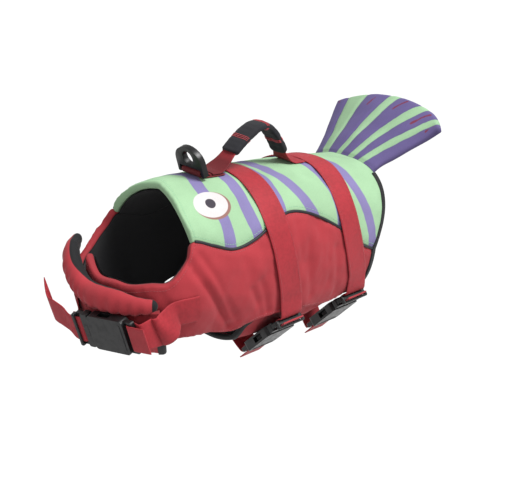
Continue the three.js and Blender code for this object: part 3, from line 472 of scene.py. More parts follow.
def blend_colour(tree, amount, a, b, how="MIX"):
    node = tree.nodes.new("ShaderNodeMix")
    node.data_type = "RGBA"
    node.blend_type = how
    for k, value in ((0, amount), (6, a), (7, b)):
        if isinstance(value, bpy.types.NodeSocket):
            tree.links.new(value, node.inputs[k])
        else:
            node.inputs[k].default_value = value
    return node.outputs[2]


def fade(tree, value, low, high, a=0.0, b=1.0):
    node = tree.nodes.new("ShaderNodeMapRange")
    node.interpolation_type = "SMOOTHSTEP"
    tree.links.new(value, node.inputs["Value"])
    for key, number in (("From Min", low), ("From Max", high), ("To Min", a), ("To Max", b)):
        node.inputs[key].default_value = number
    return node.outputs[0]


def noise(tree, where, scale, detail=2.0, **more):
    return put(tree, "ShaderNodeTexNoise", Vector=where, Scale=scale, Detail=detail, **more).outputs["Fac"]


def attribute(tree, name):
    return put(tree, "ShaderNodeAttribute", attribute_name=name).outputs["Fac"]


def thread_wave(tree, value, pitch):
    """Rounded ridges, one to each pitch in metres."""
    turn = maths(tree, "MULTIPLY", value, math.pi / pitch)
    return maths(tree, "ABSOLUTE", maths(tree, "SINE", turn))


def weave_height(tree, thread, cloth_uv):
    """Plain weave: two sets of threads that pass over and under each other."""
    split = put(tree, "ShaderNodeSeparateXYZ", Vector=cloth_uv)
    waves = [thread_wave(tree, split.outputs[axis], thread) for axis in ("X", "Y")]
    return maths(tree, "MULTIPLY", waves[0], waves[1])


def woven_finish(name, colour, rough=0.72, thread=0.0007, seam_shade=0.8, depth=0.00012):
    """Woven polyester: a fine plain weave, soft blotches, and the colour darkened within 3 mm of the seams.
    """
    finish, tree, shader = bsdf_material(name, rough, 0.05, 0.15)
    cloth_uv = put(tree, "ShaderNodeUVMap", uv_map="cloth").outputs[0]
    where = put(tree, "ShaderNodeTexCoord").outputs["Object"]
    blotch = noise(tree, where, 22.0, 3.0)
    slub = noise(tree, where, 900.0)
    edge = attribute(tree, "edge")
    slub_tone = fade(tree, slub, 0.3, 0.7, -0.035, 0.035)
    tone = maths(tree, "ADD", fade(tree, blotch, 0.3, 0.7, 0.93, 1.05), slub_tone)
    tone = maths(tree, "MULTIPLY", tone, fade(tree, edge, 0.0, 3.0, seam_shade, 1.0))
    grey = put(tree, "ShaderNodeCombineColor", Red=tone, Green=tone, Blue=tone).outputs[0]
    base = put(tree, "ShaderNodeRGB")
    base.outputs[0].default_value = (*colour, 1)
    shade = blend_colour(tree, 1.0, base.outputs[0], grey, "MULTIPLY")
    tree.links.new(shade, shader.inputs["Base Color"])
    height = maths(tree, "ADD", weave_height(tree, thread, cloth_uv), maths(tree, "MULTIPLY", slub, 0.5))
    bump = put(tree, "ShaderNodeBump", Height=height, Strength=0.5, Distance=depth)
    tree.links.new(bump.outputs[0], shader.inputs["Normal"])
    return finish, tree, shader, base.outputs[0], shade


RED = (0.272, 0.024, 0.031)
GREEN = (0.225, 0.36, 0.215)
PURPLE = (0.150, 0.128, 0.262)
printed, tree, shader, ground, shade = woven_finish("printed_back", GREEN, seam_shade=0.88)
stripe = attribute(tree, "stripe")
place_object = put(tree, "ShaderNodeTexCoord").outputs["Object"]
wobble = noise(tree, place_object, 55.0)
stripe = maths(tree, "ADD", stripe, fade(tree, wobble, 0.2, 0.8, -0.5, 0.5))
inked = blend_colour(tree, fade(tree, stripe, -0.35, 0.35, 1.0, 0.0), ground, (*PURPLE, 1))

# The eye is an oval patch of print, laid out in its own plane on each side of the back
eye_normal = outward(on_form(EYE_CENTRE[None]))[0]
eye_long = np.array([1, 0.12, -0.32])
eye_long -= eye_normal * (eye_long @ eye_normal)
eye_long /= np.linalg.norm(eye_long)
eye_high = np.cross(eye_normal, eye_long)
eye_home = (on_form(EYE_CENTRE[None])[0] + RISE) / 1000
mirror_y = put(tree, "ShaderNodeSeparateXYZ", Vector=place_object)
folded = put(tree, "ShaderNodeCombineXYZ", X=mirror_y.outputs["X"], Z=mirror_y.outputs["Z"],
             Y=maths(tree, "MULTIPLY", maths(tree, "ABSOLUTE", mirror_y.outputs["Y"]), -1.0)).outputs[0]
from_eye = tree.nodes.new("ShaderNodeVectorMath")
from_eye.operation = "SUBTRACT"
tree.links.new(folded, from_eye.inputs[0])
from_eye.inputs[1].default_value = eye_home


def oval(tree, shift, half_long, half_high):
    """Distance from an oval's middle, 1 on its edge."""
    parts = []
    for way, offset, half in ((eye_long, shift[0], half_long), (eye_high, shift[1], half_high)):
        dot = tree.nodes.new("ShaderNodeVectorMath")
        dot.operation = "DOT_PRODUCT"
        tree.links.new(from_eye.outputs[0], dot.inputs[0])
        dot.inputs[1].default_value = way
        along_axis = maths(tree, "SUBTRACT", dot.outputs["Value"], offset / 1000)
        part = maths(tree, "DIVIDE", along_axis, half / 1000)
        parts.append(maths(tree, "MULTIPLY", part, part))
    return maths(tree, "SQRT", maths(tree, "ADD", parts[0], parts[1]))


halo = oval(tree, (1.8, -1.6), EYE_HALF[0] + 1.2, EYE_HALF[1] + 1.2)
white = oval(tree, (0, 0), *EYE_HALF)
pupil = oval(tree, (-0.5, 0.5), 6.2, 6.2)
inked = blend_colour(tree, fade(tree, halo, 0.97, 1.03, 1.0, 0.0), inked, (0.20, 0.10, 0.085, 1))
inked = blend_colour(tree, fade(tree, white, 0.98, 1.02, 1.0, 0.0), inked, (0.44, 0.42, 0.42, 1))
inked = blend_colour(tree, fade(tree, pupil, 0.95, 1.05, 1.0, 0.0), inked, (0.035, 0.03, 0.04, 1))
for link in list(tree.links):
    if link.from_socket == ground and link.to_node.type == "MIX" and link.to_node.blend_type == "MULTIPLY":
        tree.links.remove(link)
multiply = shade.node
tree.links.new(inked, multiply.inputs[6])

back = Wall(back_guide, (0, 9), 0, -WALL, back_rims, relief=back_relief)
back_piece = back.build("back_shell", (0, 9), values={"stripe": stripe_distance})
back_piece.data.materials.append(printed)
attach(back_piece, "jacket")
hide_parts("back_panel")


# Side panels
# Each red flank runs from the wavy seam down to the leg opening and the hem, and carries on round the
# chest: the left one as the inner band, the right one as the outer flap. Foam inside, woven polyester
# outside, with the folds that a bent foam panel takes behind the shoulder and under the straps.
FLANK_FOLDS = [
    ([(-198, -83, -42), (-170, -88, -90), (-140, -80, -140)], 3.4, 6),
    ([(-196, -83, -50), (-170, -88, -91), (-142, -80, -138)], 1.5, 2.2),
    ([(-184, -82, -34), (-160, -90, -85), (-134, -84, -130)], 2.3, 4.5),
    ([(-178, -84, -60), (-158, -88, -96), (-146, -84, -128)], -1.5, 6),
    ([(-106, -91, -84), (-99, -92, -104), (-92, -91, -130)], 2.2, 4.5),
    ([(-119, -91, -92), (-111, -92, -108), (-101, -91, -132)], 1.5, 4),
    ([(-86, -88, -70), (-80, -92, -100), (-76, -90, -130)], 1.8, 6),
    ([(-30, -90, -60), (-30, -92, -90), (-26, -90, -125)], 1.8, 6),
    ([(18, -88, -80), (20, -88, -110), (22, -82, -140)], 1.5, 6),
    ([(-126, -88, -52), (-120, -92, -80), (-108, -90, -112)], 0.9, 7),
    ([(-104, -88, -46), (-98, -92, -70), (-96, -92, -92)], 0.7, 5),
    ([(-44, -84, -36), (-44, -90, -60), (-38, -92, -84)], 1.1, 5),
    ([(-12, -84, -40), (-8, -90, -64), (-8, -90, -96)], 0.9, 6),
    ([(4, -86, -58), (2, -90, -84), (6, -88, -116)], 0.8, 5),
    ([(70, -82, -108), (68, -82, -128), (66, -78, -146)], 1.0, 5),
    ([(-246, -38, -78), (-242, -44, -104), (-236, -44, -128)], 1.1, 6),
    ([(-226, -68, -72), (-219, -74, -98), (-212, -70, -122)], 1.2, 6)]
FLAP_LIFT = 11.5


def folds(q, side):
    local = q * np.array([1, side, 1])
    deep = np.zeros(q.shape[:-1])
    for line, depth, wide in FLANK_FOLDS:
        dense = along(np.array(line, float), np.linspace(0, len(line) - 1, 9))
        deep += depth * np.exp(-((distance_to_line(local, on_form(dense)) / wide) ** 2))
    return deep


def flank_relief(side):
    def relief(q, u, v, length, first, second):
        soft = 0.75 * uneven(q, 42, 11 + side) + 0.3 * uneven(q, 16, 13)
        sewn = puckers(q, length, first, 10, 0.55, 8, 14) + puckers(q, length, second, 12, 0.6, 8, 15)
        return soft + sewn - folds(q, side)
    return relief


def left_rims(u):
    one = np.ones(np.shape(u), int)
    return np.where(u < LEFT_SEAM, 1, 0), one, one, -one


RIGHT_TOP = np.concatenate([np.array([
    [-241, -76, -87], [-258, -55, -92], [-267, -25, -95], [-268, 10, -96], [-263, 38, -85],
    [-246, 62, -66], [-227, 73, -54.0]]), LEFT_TOP[6:] * FLIP])
RIGHT_LOW = np.concatenate([np.array([
    [-229, -62, -150], [-241, -44, -144], [-252, -20, -141], [-254, 10, -140], [-247, 38, -141],
    [-227, 60, -139], [-209, 68, -136.0]]), LEFT_LOW[6:] * FLIP])
RIGHT_SEAM = 8
RIGHT_END = 17


def right_guide(u, v):
    v = np.asarray(v, float)[..., None]
    return along(RIGHT_TOP, u) * (1 - v) + along(RIGHT_LOW, u) * v


def flap_base(u, v=None):
    return FLAP_LIFT * (1 - ease(4.1, 6.4, u))


def right_rims(u):
    one = np.ones(np.shape(u), int)
    return np.where((u < RIGHT_SEAM) & (u > 5.9), 1, 0), one, -one, -one


red_woven = woven_finish("red_woven", RED, rough=0.7)[0]
left_wall = Wall(left_guide, (0, LEFT_END), 0, -WALL, left_rims, relief=flank_relief(1))
right_wall = Wall(right_guide, (0, RIGHT_END), 0, -WALL, right_rims, base=flap_base, relief=flank_relief(-1))
for wall, name, node, end in ((left_wall, "left_flank", "side_panel_left", LEFT_END),
                              (right_wall, "right_flank", "side_panel_right", RIGHT_END)):
    piece = wall.build(name, (0, end))
    piece.data.materials.append(red_woven)
    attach(piece, "jacket")
    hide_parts(node)


# Linings
# Thin black knitted cloth covers the foam inside every panel. It shows through the neck and the leg holes,
# where it lies in shallow folds and is sewn down along the edges.
def no_rims(u):
    none = np.full(np.shape(u), -1)
    return none, none, none, none


LINING = (0.0065, 0.0065, 0.0075)
lining_finish = woven_finish("lining_black", LINING, rough=0.85, thread=0.0014, seam_shade=1.0,
                             depth=0.0002)[0]


def lining_relief(q, u, v, length, first, second):
    return -np.abs(0.5 * uneven(q, 30, 31)) * np.clip(np.minimum(first, second) / 8, 0, 1)


LININGS = [
    ("back_inside", "back_lining", back_guide, (0.12, 8.95), (-10.5, -11.3), None, 0.4, "back_shell"),
    ("left_inside", "side_lining_left", left_guide, (0.12, 15.95), (-9.8, -10.6), None, 2.5, "left_flank"),
    ("right_inside", "side_lining_right", right_guide, (0.08, 16.95), (-9.8, -10.6), flap_base, 2.5,
     "right_flank")]
for name, node, guide, rows, (high, low), base, gap, carrier in LININGS:
    wall = Wall(guide, rows, high, low, no_rims, base=base, gap=gap, relief=lining_relief)
    piece = wall.build(name, rows, fine=5.0)
    piece.data.materials.append(lining_finish)
    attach(piece, "jacket")
    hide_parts(node)


# Chest roll
# A soft padded roll is sewn along the upper edge of the chest flap to cushion the throat. Its cover is
# gathered a little, so that small creases run across it from the seam.
def tube_skin(rings):
    """A closed skin round a row of rings, with flat ends made of strips."""
    count, sides = rings.shape[:2]
    i, k = np.meshgrid(np.arange(count - 1), np.arange(sides), indexing="ij")
    a = (i * sides + k).ravel()
    b = (i * sides + (k + 1) % sides).ravel()
    body = np.stack([a, b, b + sides, a + sides], 1)
    m = np.arange(sides // 2 - 1)
    cap = np.stack([m, sides - 1 - m, sides - 2 - m, m + 1], 1)
    far = cap[:, ::-1] + (count - 1) * sides
    return rings.reshape(-1, 3), np.concatenate([body, cap, far])


def tube_uv(rings):
    count, sides = rings.shape[:2]
    middle = rings.mean(1)
    length = np.concatenate([[0], np.cumsum(np.linalg.norm(np.diff(middle, axis=0), axis=1))])
    girth = np.linalg.norm(np.diff(rings[count // 2], axis=0), axis=1).sum() * sides / (sides - 1)
    turn = np.abs(np.arange(sides) / sides - 0.5) * girth
    uv = np.stack([np.repeat(length[:, None], sides, 1), np.repeat(turn[None], count, 0)], -1)
    return uv.reshape(-1, 2)


ROLL_DEEP = 11
ROLL_HIGH = 14.5
ROLL_LIFT = 12.6
roll_u = np.linspace(0.04, 5.95, 150)
thin = (1 - 0.42 * ease(4.3, 6, roll_u)) * (0.55 + 0.45 * ease(-0.3, 2.4, roll_u))
edge_line = on_form(right_guide(roll_u, np.zeros(150)))
down = on_form(right_guide(roll_u, np.full(150, 0.2))) - edge_line
down /= np.linalg.norm(down, axis=1, keepdims=True)
roll_base = on_form(edge_line - down * ((ROLL_HIGH - 0.6) * thin + 1.6 * (1 - ease(1, 3, roll_u)))[:, None])
roll_middle = on_form(roll_base, ROLL_LIFT * (1 - 0.25 * ease(4.8, 6.2, roll_u)))
roll_out = outward(roll_base)
roll_down = down - roll_out * (down * roll_out).sum(1, keepdims=True)
roll_down /= np.linalg.norm(roll_down, axis=1, keepdims=True)
roll_length = np.concatenate([[0], np.cumsum(np.linalg.norm(np.diff(roll_middle, axis=0), axis=1))])
to_end = np.minimum(roll_length, roll_length[-1] - roll_length)
cap = np.sqrt(np.clip(1 - (1 - np.clip(to_end / 9, 0.02, 1)) ** 2, 0.02, 1))
turn = np.arange(36) * 2 * math.pi / 36
half_deep = np.cos(turn)[None] * (ROLL_DEEP * thin * cap)[:, None]
half_high = np.sin(turn)[None] * (ROLL_HIGH * thin * cap)[:, None]
rings = (roll_middle[:, None] + roll_out[:, None] * half_deep[..., None]
         + roll_down[:, None] * half_high[..., None])
ring_out = rings - roll_middle[:, None]
ring_out /= np.linalg.norm(ring_out, axis=2, keepdims=True)
gather = np.sin(roll_length * 2 * math.pi / 13 + 2.2 * uneven(roll_middle, 60, 41))[:, None]
gather = gather * (0.45 + 0.55 * np.sin(turn)[None])
seam_groove = 0.9 * np.exp(-((turn[None] - 1.9) / 0.16) ** 2)
swell = -1.15 * np.clip(gather, -0.4, 1) + 0.6 * uneven(rings, 30, 42) - seam_groove
rings = rings + ring_out * (swell * cap[:, None])[..., None]
points, faces = tube_skin(rings)
lining_shows = 0.8 - 0.42 * ease(70, 150, roll_length) - 0.06 * np.sin(roll_length / 9)
hidden = (-np.cos(turn) - np.sin(turn))[None] / math.sqrt(2) - lining_shows[:, None]
end_strip = (5.5 - roll_length)[:, None] / 4 + 0 * hidden
roll = make_piece("throat_roll", points, faces, tube_uv(rings),
                  {"edge": np.full(len(points), 9.0), "lined": np.maximum(hidden, end_strip).ravel()})
roll_finish, tree, shader, ground, shade = woven_finish("roll_red", RED)
lined = fade(tree, attribute(tree, "lined"), -0.02, 0.02)
tree.links.new(blend_colour(tree, lined, ground, (0.008, 0.008, 0.009, 1)), shade.node.inputs[6])
roll.data.materials.append(roll_finish)
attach(roll, "jacket")
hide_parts("chest_roll")


# Belly panel
# A thinner foam panel hangs between the flanks and is tucked inside them. Red outside and black inside,
# its front edge dips towards the middle to leave the legs free.
BELLY_WALL = 6


def belly_guide(u, v):
    t = np.abs(2 * v - 1)
    start = -105 + 35 * t**3
    angle = np.radians(107 + 146 * np.asarray(v, float))
    x = start + (80 - start) * u
    middle, high, half, _ = section(x)
    return np.stack([x, -np.sin(angle) * half, middle + np.cos(angle) * high], -1)


def belly_base(u, v):
    return -3 - 9.1 * ease(0.36, 0.6, np.abs(2 * np.asarray(v, float) - 1)) + 0 * np.asarray(u, float)


def belly_rims(u):
    one = np.ones(np.shape(u), int)
    return one, one, -one, -one


def belly_relief(q, u, v, length, first, second):
    return 0.5 * uneven(q, 40, 51) + 0.2 * uneven(q, 15, 52) - 0.2


belly_wall = Wall(belly_guide, (0, 1), 0, -BELLY_WALL, belly_rims, base=belly_base, relief=belly_relief,
                  gap=0.02, radius=3)
belly = belly_wall.build("belly_pad", (0, 1), fine=3.5)
belly.data.materials.append(red_woven)
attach(belly, "jacket")
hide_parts("belly_panel")
wall = Wall(belly_guide, (0.01, 0.99), -BELLY_WALL - 0.6, -BELLY_WALL - 1.6, no_rims, base=belly_base,
            gap=0.02)
belly_inside = wall.build("belly_inside", (0.01, 0.99), fine=5.0)
belly_inside.data.materials.append(lining_finish)
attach(belly_inside, "jacket")
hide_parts("belly_lining")


# Edge binding and piping
# Black ribbed tape is folded over the rear edge, the belly's front edge and the flap's end.
# A dark grey cord piping lies along each wavy seam between the green back and the red flanks.
def ribbed_finish(name, colour, pitch, depth, rough=0.65, along_axis="X", sheen=0.04, tone_step=0.86,
                  painted_shade_to=0.0):
    """Narrow woven goods: ribs across or along the tape, with small changes of tone from thread to thread,
    and painted shade towards the start of the band if asked.
    """
    finish, tree, shader = bsdf_material(name, rough, sheen, 0.2)
    uv = put(tree, "ShaderNodeUVMap", uv_map="cloth").outputs[0]
    split = put(tree, "ShaderNodeSeparateXYZ", Vector=uv)
    rib = thread_wave(tree, split.outputs[along_axis], pitch)
    other = "Y" if along_axis == "X" else "X"
    fine = thread_wave(tree, split.outputs[other], 0.0009)
    where = put(tree, "ShaderNodeTexCoord").outputs["Object"]
    fluff = noise(tree, where, 320.0, 3.0)
    wear = noise(tree, where, 30.0)
    tone = fade(tree, rib, 0.0, 0.7, tone_step, 1.0)
    tone = maths(tree, "MULTIPLY", tone, fade(tree, fluff, 0.3, 0.7, 0.9, 1.08))
    tone = maths(tree, "MULTIPLY", tone, fade(tree, wear, 0.3, 0.7, 0.93, 1.06))
    # Painted shade: the colour darkens towards the start of the band, down to 0.42 of itself, where a foot
    # lies in shade.
    if painted_shade_to:
        foot_shade = fade(tree, split.outputs["X"], painted_shade_to * 0.6, painted_shade_to, 0.42, 1.0)
        tone = maths(tree, "MULTIPLY", tone, foot_shade)
    grey = put(tree, "ShaderNodeCombineColor", Red=tone, Green=tone, Blue=tone).outputs[0]
    tree.links.new(blend_colour(tree, 1.0, (*colour, 1), grey, "MULTIPLY"), shader.inputs["Base Color"])
    height = maths(tree, "ADD", rib, maths(tree, "MULTIPLY", fine, 0.35))
    bump = put(tree, "ShaderNodeBump", Height=height, Strength=0.6, Distance=depth)
    tree.links.new(bump.outputs[0], shader.inputs["Normal"])
    return finish


binding_finish = ribbed_finish("binding_black", (0.007, 0.007, 0.008), 0.0018, 0.0003, rough=0.6,
                               along_axis="Y")


def rear_line(v):
    lower = left_guide(np.full(np.shape(v), float(LEFT_END)), np.clip(1 - 1.99 * v, 0, 1))
    upper = back_guide(np.full(np.shape(v), 9.0), np.clip((2 * v - 1) * 0.315, 0, 1))
    return np.where((v < 0.5)[..., None], lower, upper)


def belly_front(v):
    return belly_guide(np.zeros(np.shape(v)), 0.06 + 0.88 * v)


def belly_forward(v):
    way = belly_front(v) - belly_guide(np.full(np.shape(v), 0.1), 0.06 + 0.88 * v)
    return way / np.linalg.norm(way, axis=-1, keepdims=True)


def flap_end(v):
    return right_guide(np.zeros(np.shape(v)), 0.07 + 0.92 * v)


def flap_way(v):
    way = right_guide(np.zeros(np.shape(v)), v) - right_guide(np.full(np.shape(v), 0.3), v)
    return way / np.linalg.norm(way, axis=-1, keepdims=True)


def tape_rims(u):
    none = np.full(np.shape(u), -1)
    return none, none, none, none + 2


def tape_guide(line, way, side=1):
    def guide(u, v):
        v = np.asarray(v, float) + 0 * np.asarray(u, float)
        return (line(v) + way(v) * np.asarray(u, float)[..., None]) * np.array([1, side, 1])
    return guide


TAPES = [
    ("rear_binding_left", "rear_tape_left",
     tape_guide(rear_line, lambda v: np.array([1.0, 0, 0]) + 0 * v[..., None]),
     5, 0.4, -WALL, None),
    ("rear_binding_right", "rear_tape_right",
     tape_guide(rear_line, lambda v: np.array([1.0, 0, 0]) + 0 * v[..., None], -1),
     5, 0.4, -WALL, None),
    ("belly_binding", "belly_front_tape", tape_guide(belly_front, belly_forward), 6, 0.3, -BELLY_WALL - 0.3,
     lambda u, v: belly_base(0 * u, 0.06 + 0.88 * v)),
    ("flap_binding", "flap_end_tape", tape_guide(flap_end, flap_way), 5, 0, -WALL - 1.2,
     lambda u, v: FLAP_LIFT + 0 * u)]
for name, node, guide, wide, high, low, base in TAPES:
    lap = 0.4 if name == "belly_binding" else -4.2
    rows = (lap, 0.4 + wide)
    wall = Wall(guide, rows, high + 0.5, low, tape_rims, base=base, gap=0.05, radius=wide)
    piece = wall.build(name, rows, fine=3.0)
    piece.data.materials.append(binding_finish)
    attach(piece, "jacket")
    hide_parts(node)

piping_finish = ribbed_finish("piping_grey", (0.016, 0.016, 0.02), 0.0022, 0.0002, rough=0.5, tone_step=0.8)
PIPING_RADIUS = 1.7
for name, node, side in (("piping_left", "seam_piping_left", 1), ("piping_right", "seam_piping_right", -1)):
    seam_u = LEFT_SEAM + np.linspace(0.16, 8.97, 190)
    seam = on_form(along(LEFT_TOP, seam_u))
    middle = on_form(seam, -1.3)
    out = outward(seam)
    run = np.gradient(middle, axis=0)
    across = np.cross(out, run)
    across /= np.linalg.norm(across, axis=1, keepdims=True)
    turn = np.arange(10) * 2 * math.pi / 10
    way = np.cos(turn)[None, :, None] * out[:, None] + np.sin(turn)[None, :, None] * across[:, None]
    rings = middle[:, None] + PIPING_RADIUS * way
    points, faces = tube_skin(rings * np.array([1, side, 1]))
    piece = make_piece(name, points, faces, tube_uv(rings))
    piece.data.materials.append(piping_finish)
    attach(piece, "jacket")
    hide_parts(node)


# Buckles
# Three side-release buckles of moulded black nylon, for the 32 mm webbing: a socket with a window on each
# side, and a plug whose two arms show in the windows. Moulded edges are rounded, and the thumb pads ribbed.
def moulded_finish(name, colour, rough):
    finish, tree, shader = bsdf_material(name, rough, 0.0, 0.28)
    where = put(tree, "ShaderNodeTexCoord").outputs["Object"]
    grain = noise(tree, where, 2600.0)
    scuff = noise(tree, where, 130.0, 5.0, Roughness=0.7)
    worn = fade(tree, scuff, 0.58, 0.76, 0.0, 0.35)
    light = tuple(min(1, c * 2.4 + 0.01) for c in colour)
    tree.links.new(blend_colour(tree, worn, (*colour, 1), (*light, 1)), shader.inputs["Base Color"])
    tree.links.new(fade(tree, scuff, 0.4, 0.7, rough - 0.06, rough + 0.16), shader.inputs["Roughness"])
    bump = put(tree, "ShaderNodeBump", Height=grain, Strength=0.25, Distance=0.0001)
    tree.links.new(bump.outputs[0], shader.inputs["Normal"])
    return finish


plastic_finish = moulded_finish("moulded_black", (0.006, 0.006, 0.0065), 0.38)


def rounded_copy(name, node, radius, round_form=False):
    """A piece with the CAD node's own faces and its hard edges rounded as a mould leaves them."""
    form = bmesh.new()
    form.from_mesh(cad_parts[node].data)
    bmesh.ops.remove_doubles(form, verts=form.verts, dist=2e-6)
    bmesh.ops.dissolve_limit(form, angle_limit=math.radians(2), verts=form.verts, edges=form.edges)
    hard = [e for e in form.edges if len(e.link_faces) == 2 and e.calc_face_angle(0) > math.radians(38)]
    bmesh.ops.bevel(form, geom=hard, offset=radius, segments=2, profile=0.6, affect="EDGES",
                    clamp_overlap=True)
    bmesh.ops.triangulate(form, faces=[f for f in form.faces if len(f.verts) > 4])
    mesh = bpy.data.meshes.new(name)
    form.to_mesh(mesh)
    form.free()
    if round_form:
        mesh.shade_smooth()
        mesh.set_sharp_from_angle(angle=math.radians(32))
    else:
        flat = mesh.attributes.new("sharp_face", "BOOLEAN", "FACE")
        flat.data.foreach_set("value", [f.area > 4e-6 for f in mesh.polygons])
    piece = bpy.data.objects.new(name, mesh)
    bpy.context.scene.collection.objects.link(piece)
    return piece


def frame_at(origin, run, out):
    z = out / np.linalg.norm(out)
    x = run - z * (run @ z)
    x /= np.linalg.norm(x)
    return np.array(origin, float), x, np.cross(z, x), z


def in_frame(local, buckle_frame):
    origin, x, y, z = buckle_frame
    local = np.asarray(local, float)
    return origin + local[..., :1] * x + local[..., 1:2] * y + local[..., 2:3] * z


def soft_block(low, high, bevel):
    """Points of a block with its corners cut back: four rings of eight, which tube_skin closes with quads."""
    low = np.array(low, float)
    high = np.array(high, float)
    levels = []
    for height, inset in ((low[2], bevel), (low[2] + bevel, 0), (high[2] - bevel, 0), (high[2], bevel)):
        x0, x1, y0, y1 = low[0] + inset, high[0] - inset, low[1] + inset, high[1] - inset
        b = bevel
        levels.append([(x0 + b, y0, height), (x1 - b, y0, height), (x1, y0 + b, height), (x1, y1 - b, height),
                       (x1 - b, y1, height), (x0 + b, y1, height), (x0, y1 - b, height),
                       (x0, y0 + b, height)])
    return np.array(levels)


def add_blocks(piece_name, blocks, buckle_frame):
    """Joins small moulded blocks, given in the buckle's own frame, into one piece."""
    points = []
    faces = []
    start = 0
    for low, high, bevel in blocks:
        skin, quads = tube_skin(soft_block(low, high, bevel))
        points.append(in_frame(skin, buckle_frame))
        faces.append(quads + start)
        start += len(skin)
    return make_piece(piece_name, np.concatenate(points), np.concatenate(faces), sharp=20)


def buckle_between(ladder, socket):
    ladder = np.array(ladder, float)
    socket = np.array(socket, float)
    run = ladder - socket
    return frame_at((ladder + socket) / 2, run, np.cross([1.0, 0, 0], run))


neck_middle = on_form(np.array([-259, -26, -112.2]))
BUCKLES = {
    "front": buckle_between((-58, -89.4, -144.6), (-58, -22.5, -208)),
    "rear": buckle_between((62, -74, -158.4), (62, -17, -214.5)),
    "neck": frame_at(on_form(neck_middle, FLAP_LIFT + 10), np.array([-14, 81, -10.5]), outward(neck_middle)),
}
PAD_RIBS = [-5.2, -3.1, -1.0, 1.1, 3.2]
for name, buckle_frame in BUCKLES.items():
    for half in ("socket", "plug"):
        piece = rounded_copy(name + "_buckle_" + half, "buckle_" + name + "_" + half, 0.0007)
        piece.data.materials.append(plastic_finish)
        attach(piece, "jacket")
        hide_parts("buckle_" + name + "_" + half)
    ribs = []
    for side in (-1, 1):
        for x in PAD_RIBS:
            ribs.append(((x, side * 18.2 - 0.7, -2.3), (x + 1.1, side * 18.2 + 0.7, 2.3), 0.3))
    for face in (-1, 1):
        z0, z1 = sorted((face * 4.6, face * 6.6))
        ribs.append(((-27, -16.5, z0), (-24.5, 16.5, z1), 0.5))
        ribs.append(((24, -8, z0 * 0.8), (29.5, 8, z1 * 0.8), 0.4))
    ribs.append(((38.4, -20.6, 5.2), (42.6, 20.6, 7.6), 0.8))
    ribs.append(((38.4, 17.2, 1.6), (42.6, 20.6, 6.4), 0.5))
    ribs.append(((38.4, -20.6, 1.6), (42.6, -17.2, 6.4), 0.5))
    detail = add_blocks(name + "_buckle_ribs", ribs, buckle_frame)
    detail.data.materials.append(plastic_finish)
    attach(detail, "jacket")


# Webbing
# Flat red polyester webbing, 32 mm wide and 1.6 mm thick, woven with fine ribs and firm selvedges.
# Two straps go round the body, and one crosses the chest; each end is doubled round a buckle bar.
WEBBING = 32
WEB_THICK = 1.6
ACROSS = np.array([-1, -0.96, -0.86, -0.6, -0.3, 0, 0.3, 0.6, 0.86, 0.96, 1])
webbing_finish = ribbed_finish("webbing_red", (0.255, 0.016, 0.023), 0.0012, 0.00016, rough=0.62,
                               tone_step=0.95)


class Ribbon:
    """A flat band through rows of points across it, made finer along its length."""

    def __init__(self, rows, finer=4, thick=WEB_THICK, seed=61):
        rows = np.asarray(rows, float)
        count = len(rows)
        u = np.linspace(0, count - 1, finer * (count - 1) + 1)
        self.middle = along(rows.reshape(count, -1), u).reshape(len(u), rows.shape[1], 3)
        self.thick = thick
        run = np.gradient(self.middle, axis=0)
        across = (self.middle[:, -1] - self.middle[:, 0])[:, None]
        normal = np.cross(across, run)
        self.normal = normal / np.maximum(np.linalg.norm(normal, axis=2, keepdims=True), 1e-9)
        centre = self.middle[:, rows.shape[1] // 2]
        self.length = np.concatenate([[0], np.cumsum(np.linalg.norm(np.diff(centre, axis=0), axis=1))])
        self.width = float(np.linalg.norm(across[:, 0], axis=1).mean())
        self.seed = seed

    def cut(self):
        """The flat size of the band in metres: its width and its length."""
        return WEBBING / 1000, round(float(self.length[-1]) / 1000, 3)

    def build(self, name, finish, slot, *nodes):
        profile = np.interp(np.abs(ACROSS), [0, 0.86, 0.96, 1], [1, 1, 0.92, 0.5])[None, :, None]
        wave = 0.12 * uneven(self.middle, 18, self.seed)[..., None]
        upper = self.middle + self.normal * (self.thick / 2 * profile + wave)
        lower = self.middle - self.normal * (self.thick / 2 * profile - wave)
        points, faces = closed_grid(upper, lower)
        half = np.linalg.norm(self.middle[:, -1] - self.middle[:, 0], axis=1) / 2
        lengthways = np.repeat(self.length[:, None], len(ACROSS), 1)
        uv = np.stack([lengthways, ACROSS[None] * half[:, None]], -1).reshape(-1, 2)
        piece = make_piece(name, points, faces, np.tile(uv, (2, 1)), sharp=60)
        piece.data.materials.append(finish)
        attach(piece, "jacket")
        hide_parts(*nodes)
        return piece

    def point(self, length, across, proud=0.0, side=1):
        """A place on the band, lengthways in millimetres and across from -1 to 1."""
        across = np.asarray(across, float) + 0 * np.asarray(length, float)
        length = np.asarray(length, float) + 0 * across
        i = np.interp(length, self.length, np.arange(len(self.length)))
        j = np.interp(across, ACROSS, np.arange(len(ACROSS)))
        i0 = np.clip(i.astype(int), 0, len(self.length) - 2)
        j0 = np.clip(j.astype(int), 0, len(ACROSS) - 2)
        fi = (i - i0)[..., None]
        fj = (j - j0)[..., None]
        out = 0
        for grid, scale in ((self.middle, 1.0), (self.normal, side * (self.thick / 2 + proud))):
            value = ((grid[i0, j0] * (1 - fj) + grid[i0, j0 + 1] * fj) * (1 - fi)
                     + (grid[i0 + 1, j0] * (1 - fj) + grid[i0 + 1, j0 + 1] * fj) * fi)
            out = out + value * scale
        return out


